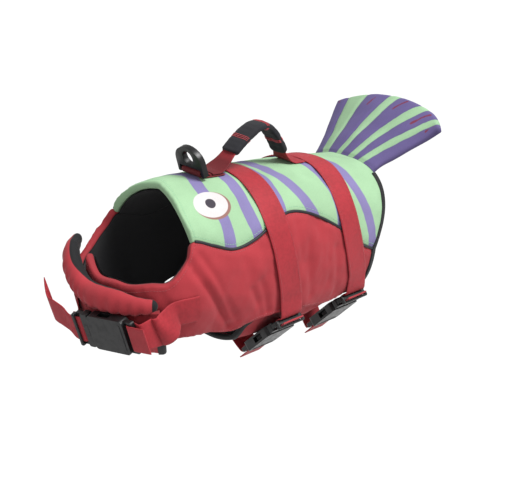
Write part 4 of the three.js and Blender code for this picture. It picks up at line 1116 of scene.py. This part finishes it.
def form_rows(table, count):
    """Rows of a band that lies on the form through a table of x, y, z and lift."""
    table = np.asarray(table, float)
    u = np.linspace(0, len(table) - 1, count + 1)
    centre = on_form(along(table[:, :3], u))
    ahead = on_form(along(table[:, :3], np.minimum(u + 0.05, len(table) - 1)))
    behind = on_form(along(table[:, :3], np.maximum(u - 0.05, 0)))
    side = np.cross(ahead - behind, outward(centre))
    side /= np.linalg.norm(side, axis=1, keepdims=True)
    spots = centre[:, None] + side[:, None] * (ACROSS * WEBBING / 2)[None, :, None]
    return on_form(spots, np.repeat(along(table[:, 3], u)[:, None], len(ACROSS), 1))


def flat_rows(path, buckle_frame, end, rises=None):
    """Rows of a band that lies across a buckle's frame through a path of x and z."""
    rows = []
    for k, (x, z) in enumerate(path):
        level_row = np.ones(len(ACROSS))
        local = np.stack([level_row * end * x, -ACROSS * WEBBING / 2, level_row * z], 1)
        rows.append(in_frame(local, buckle_frame) + np.array([0, 0, rises[k] if rises else 0]))
    return rows


BAR_PATH = [(49, -2.6), (42.5, -3.6), (38, -3.9), (35, -3.2), (33.8, -1.2), (33.8, 1.2), (35, 3.2),
            (38, 3.9), (42.5, 3.8)]
STRAP_ROWS = {
    "front": [(108, -60, 2), (96, -64, 1.6), (84, -68, 1.6), (70, -72, 1.6), (52, -75, 1.6),
              (34, -73, 1.6), (16, -69, 1.6), (0, -67, 1.6), (-16, -69, 1.6), (-34, -73, 1.6),
              (-52, -75, 1.6), (-70, -72, 1.6), (-88, -67, 1.6), (-106, -61, 1.6), (-124, -58, 1.4),
              (-140, -58, -0.6), (-156, -58, -1.2), (-170, -58, -1.6)],
    "rear": [(108, 58, 2), (96, 53, 1.6), (84, 48, 1.6), (70, 43, 1.6), (52, 41, 1.6), (34, 45, 1.6),
             (16, 51, 1.6), (0, 54, 1.6), (-16, 51, 1.6), (-34, 45, 1.6), (-52, 41, 1.6), (-70, 43, 1.6),
             (-88, 50, 1.6), (-106, 57, 1.6), (-124, 61, 1.4), (-140, 62, -0.6), (-156, 62, -1.2),
             (-170, 62, -1.6)],
}
ribbons = {}
for name, rows in STRAP_ROWS.items():
    table = []
    for degrees, x, lift in rows:
        middle, high, half, _ = section(float(x))
        angle = math.radians(-degrees)
        table.append((x, math.sin(angle) * half, middle + math.cos(angle) * high, lift))
    body = list(form_rows(table, 38))
    ladder = flat_rows(BAR_PATH + [(48, 4)], BUCKLES[name], 1)[::-1]
    socket = flat_rows(BAR_PATH + [(50, 3.9), (56, 3.9)], BUCKLES[name], -1)
    ribbons[name] = Ribbon(ladder + body + socket)
    piece = ribbons[name].build(name + "_strap", webbing_finish, "red_webbing", "strap_" + name)
    ribbons[name].cut()

NECK_LEFT = [(-194, -85, -92, 1.6), (-205, -82, -92, 1.6), (-213, -80, -92.5, 1.6), (-220, -78.5, -94, 3),
             (-226, -77, -97, 10), (-232, -76, -101, 17.8), (-238, -75, -104, 20.4), (-243, -73, -106, 19.4)]
NECK_RIGHT = [(-193, 84, -98, 1.6), (-206, 81, -101, 1.8), (-219, 76, -104, 3), (-232, 71, -108, 6.6),
              (-245, 62, -112, 11.2), (-254, 52, -115, 13.4), (-261, 40, -119, 14.4)]
STRAY_END = [(50, 4.8), (57, 5.6), (64, 6.2), (71, 6.4), (77, 6.4), (81, 6), (84, 4.6), (86, 3)]
STRAY_RISE = [3, 10, 14, 17, 19, 22, 31, 40]
ribbons["neck_left"] = Ribbon(flat_rows(BAR_PATH + [(50, 3.8), (59, 3.6)], BUCKLES["neck"], -1)[::-1]
                              + list(form_rows(NECK_LEFT, 16))[::-1], seed=62)
ribbons["neck_right"] = Ribbon(flat_rows(STRAY_END, BUCKLES["neck"], 1, STRAY_RISE)[::-1]
                               + flat_rows(BAR_PATH, BUCKLES["neck"], 1)[::-1]
                               + list(form_rows(NECK_RIGHT, 16))[::-1], seed=63)
for name, node in (("neck_left", "neck_webbing_left"), ("neck_right", "neck_webbing_right")):
    piece = ribbons[name].build(name + "_strap", webbing_finish, "red_webbing", node)
    ribbons[name].cut()


# Lifting handle
# The handle is the same webbing, folded narrow through the grip and sewn flat at both feet.
# A padded black sleeve covers the grip and is closed with three red bar tacks across it.
HANDLE = np.array([
    [-111, 4.1, 32], [-104, 4.1, 32], [-97, 4.3, 32], [-89, 25.5, 30], [-81, 30, 25], [-72, 37, 21.5],
    [-62, 44.5, 21], [-50, 52.3, 21], [-38, 58, 21], [-27, 60.3, 21], [-17, 57.3, 21], [-9, 49.5, 21],
    [-2, 39.5, 21], [3.5, 29.5, 21], [7.5, 20.5, 22], [12, 12.6, 29], [19, 2, 32], [27, 1.7, 32],
    [35, 1.7, 32.0]])
for k in (0, 1, 2, 16, 17, 18):
    HANDLE[k, 1] += column("top", HANDLE[k, 0])


def ridge_drop(x, y):
    """How far the back falls away at y from the ridge."""
    ridge = column("top", x)
    zero = np.zeros_like(x)
    return on_form(np.stack([x, y, ridge], -1))[..., 2] - on_form(np.stack([x, zero, ridge], -1))[..., 2]


handle_u = np.linspace(0, len(HANDLE) - 1, 73)
handle_line = along(HANDLE, handle_u)
flat = ease(14, 4, np.abs(handle_line[:, 1] - column("top", handle_line[:, 0])))
handle_x = np.repeat(handle_line[:, :1], len(ACROSS), 1)
handle_y = ACROSS[None] * handle_line[:, 2:3] / 2
handle_z = handle_line[:, 1:2] + ridge_drop(handle_x, handle_y) * flat[:, None]
ribbons["handle"] = Ribbon(np.stack([handle_x, handle_y, handle_z], -1), finer=2, seed=64)
# The handle's front foot gets painted shade: its colour darkens over the first 45 mm of the band.
handle_finish = ribbed_finish("webbing_handle_shaded_foot", (0.22, 0.014, 0.020), 0.0012, 0.00016, rough=0.62,
                              tone_step=0.95,
                              painted_shade_to=0.045)
handle = ribbons["handle"].build("handle_strap", handle_finish, "red_webbing", "handle_webbing")
ribbons["handle"].cut()

GRIP_FROM = 5
GRIP_TO = 13.8
grip_u = np.linspace(GRIP_FROM, GRIP_TO, 70)
grip_c = along(HANDLE, grip_u)
grip_middle = np.stack([grip_c[:, 0], np.zeros(70), grip_c[:, 1]], 1)
grip_run = np.gradient(grip_middle, axis=0)
grip_up = -np.cross(grip_run, [0, 1.0, 0])
grip_up /= np.linalg.norm(grip_up, axis=1, keepdims=True)
grip_length = np.concatenate([[0], np.cumsum(np.linalg.norm(np.diff(grip_middle, axis=0), axis=1))])
grip_end = np.minimum(grip_length, grip_length[-1] - grip_length)
turn = np.arange(32) * 2 * math.pi / 32


def grip_ring(wide, thick, squareness, scale):
    c = np.sign(np.cos(turn)) * np.abs(np.cos(turn)) ** squareness * wide / 2
    s = np.sign(np.sin(turn)) * np.abs(np.sin(turn)) ** squareness * thick / 2
    return (grip_middle[:, None] + np.array([0, 1.0, 0]) * (c[None] * scale[:, None])[..., None]
            + grip_up[:, None] * (s[None] * scale[:, None])[..., None])


TACKS = [0.2, 0.5, 0.8]
pinch = sum(np.exp(-((grip_length - grip_length[-1] * t) / 3.2) ** 2) for t in TACKS)
grip_scale = 1 - 0.16 * np.clip(1 - grip_end / 3, 0, 1) ** 2
outer = grip_ring(26, 8.4, 0.5, grip_scale)
out = outer - grip_middle[:, None]
out /= np.linalg.norm(out, axis=2, keepdims=True)
crease = 0.35 * np.sin(grip_length * 2 * math.pi / 7)[:, None] * np.abs(np.sin(turn))[None]
pinched = 0.9 * pinch[:, None] * np.abs(np.sin(turn))[None]
outer = outer + out * (0.4 * uneven(outer, 14, 71) - pinched + crease * 0.6)[..., None]
inner = grip_ring(23.2, 3.0, 0.5, np.ones(70))
i, k = np.meshgrid(np.arange(69), np.arange(32), indexing="ij")
a = (i * 32 + k).ravel()
b = (i * 32 + (k + 1) % 32).ravel()
n = 70 * 32
k = np.arange(32)
near = np.stack([(k + 1) % 32, k, k + n, (k + 1) % 32 + n], 1)
far = near[:, ::-1] + 69 * 32
outside = np.stack([a, b, b + 32, a + 32], 1)
inside = np.stack([b, a, a + 32, b + 32], 1) + n
faces = np.concatenate([outside, inside, near, far])
round_the_grip = np.repeat((np.abs(turn - math.pi) * 10)[None], 70, 0)
grip_uv = np.stack([np.repeat(grip_length[:, None], 32, 1), round_the_grip], -1)
grip = make_piece("handle_sleeve", np.concatenate([outer.reshape(-1, 3), inner.reshape(-1, 3)]), faces,
                  np.tile(grip_uv.reshape(-1, 2), (2, 1)), {"edge": np.full(2 * n, 9.0)})
sleeve_finish = woven_finish("sleeve_black", (0.014, 0.014, 0.017), rough=0.75, thread=0.0011,
                             depth=0.0002)[0]
grip.data.materials.append(sleeve_finish)
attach(grip, "jacket")
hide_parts("handle_grip")


# Leash ring and its tab
# A chunky moulded ring with a round hole stands on a straight bar, which turns in a doubled webbing tab
# sewn to the back in front of the handle.
RING_BAR = np.array([-126.0, 0, float(column("top", -126.0)) + 5.4])
TAB_ROWS = [(34, -3.9, 1), (22, -3.9, 1), (12, -3.8, 1), (5, -3.65, 0.6)]
for degrees in range(90, 271, 30):
    a = math.radians(degrees) - math.pi / 2
    TAB_ROWS.append((-3.6 * math.sin(a), -3.6 * math.cos(a), 0))
TAB_ROWS += [(3.4, 3.2, 0), (6.6, 1.7, 0.3), (10, -0.6, 0.8), (13, -1.2, 1)]
slope = math.atan2(float(column("top", -92.0) - column("top", -126.0)), 34)
tab = []
for a, b, bend in TAB_ROWS:
    x = np.full(len(ACROSS), RING_BAR[0] + a * math.cos(slope) - b * math.sin(slope))
    y = ACROSS * WEBBING / 2
    z = RING_BAR[2] + a * math.sin(slope) + b * math.cos(slope) + ridge_drop(x, y) * bend
    tab.append(np.stack([x, y, z], 1))
ribbons["tab"] = Ribbon(tab, finer=3, seed=65)
# The tab is a darker copy of the red webbing: painted shade, for a tab that lies in shade under the ring.
tab_shaded_finish = ribbed_finish("webbing_tab_shaded", (0.11, 0.009, 0.012), 0.0012, 0.00016, rough=0.62, tone_step=0.95)
ring_tab = ribbons["tab"].build("leash_tab", tab_shaded_finish, "red_webbing", "ring_tab")
ribbons["tab"].cut()
ring = rounded_copy("leash_loop", "leash_ring", 0.0011, round_form=True)
ring.data.materials.append(plastic_finish)
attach(ring, "leash_ring_body")
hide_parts("leash_ring")


# Tail fin
# A flat foam-filled fan is sewn to the rear edge of the back. Its two faces are printed alike with purple
# rays on green, and a few short dark red strokes, and it is stitched down between the rays.
FIN_X = np.array([123.8, 138, 155, 173, 191, 207, 218])
FIN_HALF = np.array([45, 48, 55, 64, 75, 83, 87.0])
FIN_FAR = np.array([62, 64, 69, 76, 82, 86, 88.0])
FIN_LIFT = np.array([0, 10.5, 22, 34, 46, 55.5, 61])
FIN_ARCH = np.array([1, 0.8, 0.55, 0.3, 0.1, 0, 0])
FIN_SAG = np.array([0, 5, 11, 15, 18, 19.5, 20.5])
FIN_THICK = 12
FIN_ROOT = 123.8
RAYS = [((1.02, 0.72), (1.02, 0.79)), ((0.53, 0.29), (0.47, 0.08)), ((0.17, -0.05), (-0.10, -0.47)),
        ((-0.24, -0.45), (-0.63, -0.84)), ((-0.64, -1.02), (-0.93, -1.02))]
STROKES = [(0.335, 0.27, 4.3, 5.5), (-0.15, -0.25, 4.3, 5.5), (-0.62, -0.72, 4.0, 5.5),
           (-0.90, -0.92, 4.3, 5.3),
           (0.92, 0.9, 4.9, 5.6)]


def fin_half(u, t):
    return np.where(np.asarray(t) > 0, along(FIN_FAR, u), along(FIN_HALF, u))


def fin_sheet(u, t):
    u = np.clip(u, 0, 6)
    y = fin_half(u, t) * t
    ridge = float(column("top", FIN_ROOT))
    edge = on_form(np.stack([np.full(np.shape(t), FIN_ROOT), fin_half(0 * u, t) * t, ridge - 5 * t * t], -1))
    droop = (edge[..., 2] - ridge) * along(FIN_ARCH, u) - along(FIN_SAG, u) * t * t
    x = along(FIN_X, u) - (10 * t * t + 8 * t) * (u / 6) ** 2 + 5 * np.maximum(t, 0) ** 2 * (1 - u / 6)
    x = x - 15 * np.clip((-np.asarray(t) - 0.62) / 0.38, 0, 1) ** 2 * ease(3.6, 6, u)
    return np.stack([x, y, ridge - 4.6 + along(FIN_LIFT, u) + droop], -1)


def ray_distance(u, t):
    """Millimetres from the nearest ray's edge on the fin, negative inside a ray."""
    best = np.full(np.shape(t), 99.0)
    for (root_a, root_b), (top_a, top_b) in RAYS:
        share = (u / 6) ** 0.9
        high = root_a + (top_a - root_a) * share
        low = root_b + (top_b - root_b) * share
        best = np.minimum(best, np.maximum(t - high, low - t) * fin_half(u, t))
    return best


def stroke_distance(u, t):
    best = np.full(np.shape(t), 99.0)
    here = np.stack([t * fin_half(u, t), u * 16.5], -1)
    for t0, t1, u0, u1 in STROKES:
        line = [np.array([t0 * fin_half(u0, t0), u0 * 16.5]), np.array([t1 * fin_half(u1, t1), u1 * 16.5])]
        best = np.minimum(best, distance_to_line(here, line) - 0.9)
    return best


fin_u = np.concatenate([[0, 0.05, 0.12], np.linspace(0.2, 5.8, 62), [5.88, 5.94, 5.98, 6]])
fin_t = np.concatenate([[-1, -0.99, -0.975, -0.955], np.linspace(-0.935, 0.935, 88), [0.955, 0.975, 0.99, 1]])
fin_u, fin_t = np.meshgrid(fin_u, fin_t, indexing="ij")
spot = fin_sheet(fin_u, fin_t)
normal = np.cross(fin_sheet(np.minimum(fin_u + 0.05, 6), fin_t)
                  - fin_sheet(np.maximum(fin_u - 0.05, 0), fin_t),
                  fin_sheet(fin_u, np.minimum(fin_t + 0.02, 1))
                  - fin_sheet(fin_u, np.maximum(fin_t - 0.02, -1)))
normal /= np.linalg.norm(normal, axis=2, keepdims=True)
upright = (1 - ease(0, 0.6, fin_u))[..., None]
normal = normal * (1 - upright) + np.array([0, 0, 1.0]) * upright
normal /= np.linalg.norm(normal, axis=2, keepdims=True)
side = (1 - np.abs(fin_t)) * fin_half(fin_u, fin_t)
rear = (6 - fin_u) * 12
rim = 1
for near in (side, rear):
    rounded = np.sqrt(np.clip(1 - (1 - np.clip(near / 7, 0, 1)) ** 2, 0, 1))
    rim = np.minimum(rim, 0.12 + 0.88 * rounded)
rays = ray_distance(fin_u, fin_t)
quilt = 1.1 * np.exp(-((rays / 2.2) ** 2)) * ease(0.3, 1.5, fin_u)
half_thick = (8.6 + (FIN_THICK - 8.6) * ease(0, 2, fin_u)) / 2 * rim - quilt * rim
puff = 0.35 * uneven(spot, 26, 81) * rim
upper = spot + normal * (half_thick + puff)[..., None]
lower = spot - normal * (half_thick - puff)[..., None]
points, faces = closed_grid(upper, lower)
fin_uv = np.stack([fin_u * 16.5, fin_t * fin_half(fin_u, fin_t)], -1).reshape(-1, 2)
fin_marks = {"stripe": np.tile(rays.ravel(), 2), "stroke": np.tile(stroke_distance(fin_u, fin_t).ravel(), 2),
             "edge": np.tile(np.minimum(np.minimum(side, rear), np.abs(rays) + 1.2).ravel(), 2)}
fin = make_piece("tail_fan", points, faces, np.tile(fin_uv, (2, 1)), fin_marks)
fin_print, tree, shader, ground, shade = woven_finish("printed_fin", GREEN, seam_shade=0.8)
stripe = attribute(tree, "stripe")
stroke = attribute(tree, "stroke")
wobble = noise(tree, put(tree, "ShaderNodeTexCoord").outputs["Object"], 50.0)
stripe = maths(tree, "ADD", stripe, fade(tree, wobble, 0.2, 0.8, -0.6, 0.6))
stroke = maths(tree, "ADD", stroke, fade(tree, wobble, 0.2, 0.8, -0.8, 0.8))
rayed = blend_colour(tree, fade(tree, stripe, -0.35, 0.35, 1.0, 0.0), ground, (0.088, 0.068, 0.175, 1))
rayed = blend_colour(tree, fade(tree, stroke, -0.3, 0.3, 1.0, 0.0), rayed, (0.13, 0.022, 0.045, 1))
tree.links.new(rayed, shade.node.inputs[6])
fin.data.materials.append(fin_print)
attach(fin, "jacket")
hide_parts("tail_fin")


# Stitching
# Lockstitch runs along the panel edges and the webbing, with a box and cross on each sewn webbing end
# and bar tacks on the grip. Every stitch is a short raised bead of thread.
def stitch_tree():
    """A node tree that sets beads of thread along lines: Pitch apart, Length long and Width across."""
    tree = bpy.data.node_groups.new("stitch run", "GeometryNodeTree")
    face = tree.interface
    face.new_socket(name="Geometry", in_out="INPUT", socket_type="NodeSocketGeometry")
    for label in ("Pitch", "Length", "Width"):
        face.new_socket(name=label, in_out="INPUT", socket_type="NodeSocketFloat")
    face.new_socket(name="Thread", in_out="INPUT", socket_type="NodeSocketMaterial")
    face.new_socket(name="Geometry", in_out="OUTPUT", socket_type="NodeSocketGeometry")
    start = tree.nodes.new("NodeGroupInput")
    end = tree.nodes.new("NodeGroupOutput")
    to_curve = tree.nodes.new("GeometryNodeMeshToCurve")
    resample = tree.nodes.new("GeometryNodeResampleCurve")
    resample.mode = "LENGTH"
    tangent = tree.nodes.new("GeometryNodeInputTangent")
    align = tree.nodes.new("FunctionNodeAlignRotationToVector")
    align.axis = "X"
    bead = tree.nodes.new("GeometryNodeMeshUVSphere")
    bead.inputs["Segments"].default_value = 6
    bead.inputs["Rings"].default_value = 4
    bead.inputs["Radius"].default_value = 0.5
    size = tree.nodes.new("ShaderNodeCombineXYZ")
    scale = tree.nodes.new("GeometryNodeInstanceOnPoints")
    real = tree.nodes.new("GeometryNodeRealizeInstances")
    paint = tree.nodes.new("GeometryNodeSetMaterial")
    tree.links.new(start.outputs["Geometry"], to_curve.inputs[0])
    tree.links.new(to_curve.outputs[0], resample.inputs["Curve"])
    tree.links.new(start.outputs["Pitch"], resample.inputs["Length"])
    tree.links.new(tangent.outputs[0], align.inputs["Vector"])
    tree.links.new(start.outputs["Length"], size.inputs["X"])
    tree.links.new(start.outputs["Width"], size.inputs["Y"])
    tree.links.new(start.outputs["Width"], size.inputs["Z"])
    tree.links.new(resample.outputs[0], scale.inputs["Points"])
    tree.links.new(bead.outputs[0], scale.inputs["Instance"])
    tree.links.new(align.outputs[0], scale.inputs["Rotation"])
    tree.links.new(size.outputs[0], scale.inputs["Scale"])
    tree.links.new(scale.outputs[0], real.inputs[0])
    tree.links.new(real.outputs[0], paint.inputs["Geometry"])
    tree.links.new(start.outputs["Thread"], paint.inputs["Material"])
    tree.links.new(paint.outputs[0], end.inputs[0])
    return tree


stitch_run = stitch_tree()


def thread_finish(name, colour):
    finish, tree, shader = bsdf_material(name, 0.55, 0.3)
    where = put(tree, "ShaderNodeTexCoord").outputs["Object"]
    twist = noise(tree, where, 1800.0)
    dark = tuple(c * 0.7 for c in colour)
    twisted = blend_colour(tree, fade(tree, twist, 0.3, 0.7), (*dark, 1), (*colour, 1))
    tree.links.new(twisted, shader.inputs["Base Color"])
    return finish


def sew(name, lines, pitch, length, width, finish):
    """Turns lines of points into one mesh of stitches on the jacket."""
    points = (np.concatenate(lines) + RISE) / 1000
    edges = []
    start = 0
    for line in lines:
        edges += [(start + k, start + k + 1) for k in range(len(line) - 1)]
        start += len(line)
    guide_mesh = bpy.data.meshes.new(name + "_line")
    guide_mesh.from_pydata(points.tolist(), edges, [])
    guide_line = bpy.data.objects.new(name + "_line", guide_mesh)
    bpy.context.scene.collection.objects.link(guide_line)
    modifier = guide_line.modifiers.new("stitches", "NODES")
    modifier.node_group = stitch_run
    for item in stitch_run.interface.items_tree:
        given = {"Pitch": pitch / 1000, "Length": length / 1000, "Width": width / 1000, "Thread": finish}
        if item.in_out == "INPUT" and item.name in given:
            modifier[item.identifier] = given[item.name]
    bpy.context.view_layer.update()
    evaluated = guide_line.evaluated_get(bpy.context.evaluated_depsgraph_get())
    mesh = bpy.data.meshes.new_from_object(evaluated)
    bpy.data.objects.remove(guide_line)
    mesh.name = name
    mesh.shade_smooth()
    piece = bpy.data.objects.new(name, mesh)
    bpy.context.scene.collection.objects.link(piece)
    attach(piece, "jacket")
    return piece


red_thread = thread_finish("thread_red", (0.30, 0.03, 0.04))
green_thread = thread_finish("thread_green", (0.24, 0.5, 0.3))


def wall_line(wall, start, end, distance, count=160, proud=0.12):
    u = np.linspace(start, end, count)
    return wall.surface(u, np.array([wall.inset(k, distance) for k in u]), proud)


def box_and_cross(ribbon, start, end, inset=0.78, side=1):
    corners = [(start, -inset), (end, -inset), (end, inset), (start, inset), (start, -inset), (end, inset)]
    lines = []
    for (l0, a0), (l1, a1) in zip(corners[:-1], corners[1:]):
        t = np.linspace(0, 1, 20)
        lines.append(ribbon.point(l0 + (l1 - l0) * t, a0 + (a1 - a0) * t, 0.1, side))
    t = np.linspace(0, 1, 20)
    lines.append(ribbon.point(end + (start - end) * t, -inset + 2 * inset * t, 0.1, side))
    return lines


red_lines = []
for wall, seam_row, end in ((left_wall, LEFT_SEAM, LEFT_END), (right_wall, RIGHT_SEAM, RIGHT_END)):
    red_lines.append(wall_line(wall, seam_row + 0.1, end - 0.1, 5.0))
    red_lines.append(wall_line(wall, 0.2, end - 0.1, -6.5, 260))
red_lines.append(wall_line(left_wall, 0.2, LEFT_SEAM - 0.1, 7.0))
red_lines.append(wall_line(right_wall, 6.1, RIGHT_SEAM - 0.1, 7.0, 60))
neck_end = ribbons["neck_left"].length[-1]
web_lines = box_and_cross(ribbons["neck_left"], neck_end - 27, neck_end - 3)
neck_end = ribbons["neck_right"].length[-1]
web_lines += box_and_cross(ribbons["neck_right"], neck_end - 27, neck_end - 3)
handle_end = ribbons["handle"].length[-1]
web_lines += box_and_cross(ribbons["handle"], 2.5, 15)
web_lines += box_and_cross(ribbons["handle"], handle_end - 17, handle_end - 2.5)
web_lines += box_and_cross(ribbons["tab"], 2.5, 16)
for name in ("front", "rear"):
    total = ribbons[name].length[-1]
    t = np.linspace(60, total - 60, 260)
    for across in (-0.86, 0.86):
        web_lines.append(ribbons[name].point(t, np.full(260, across), 0.05))
sew("stitches_red", red_lines, 3.2, 2.5, 0.55, red_thread)
sew("stitches_webbing", web_lines, 3.0, 2.3, 0.6, red_thread)

green_lines = [wall_line(back, 0.15, 8.9, 5.0), wall_line(back, 0.15, 8.9, -5.0)]
v = np.linspace(0.03, 0.97, 200)
green_lines.append(back.surface(np.interp(7.0, back.lengths, back.marks) + 0 * v, v, 0.12))
sew("stitches_green", green_lines, 3.2, 2.5, 0.55, green_thread)

tack_lines = []
for share in TACKS:
    k = int(share * 69)
    for step in (-1, 0, 1):
        row = outer[min(max(k + step, 0), 69)] + out[min(max(k + step, 0), 69)] * 0.25
        half = row[17:32]
        tack_lines.append(half)
        tack_lines.append(row[0:16])
sew("grip_tacks", tack_lines, 1.0, 1.3, 0.9, thread_finish("thread_tack", (0.42, 0.02, 0.03)))
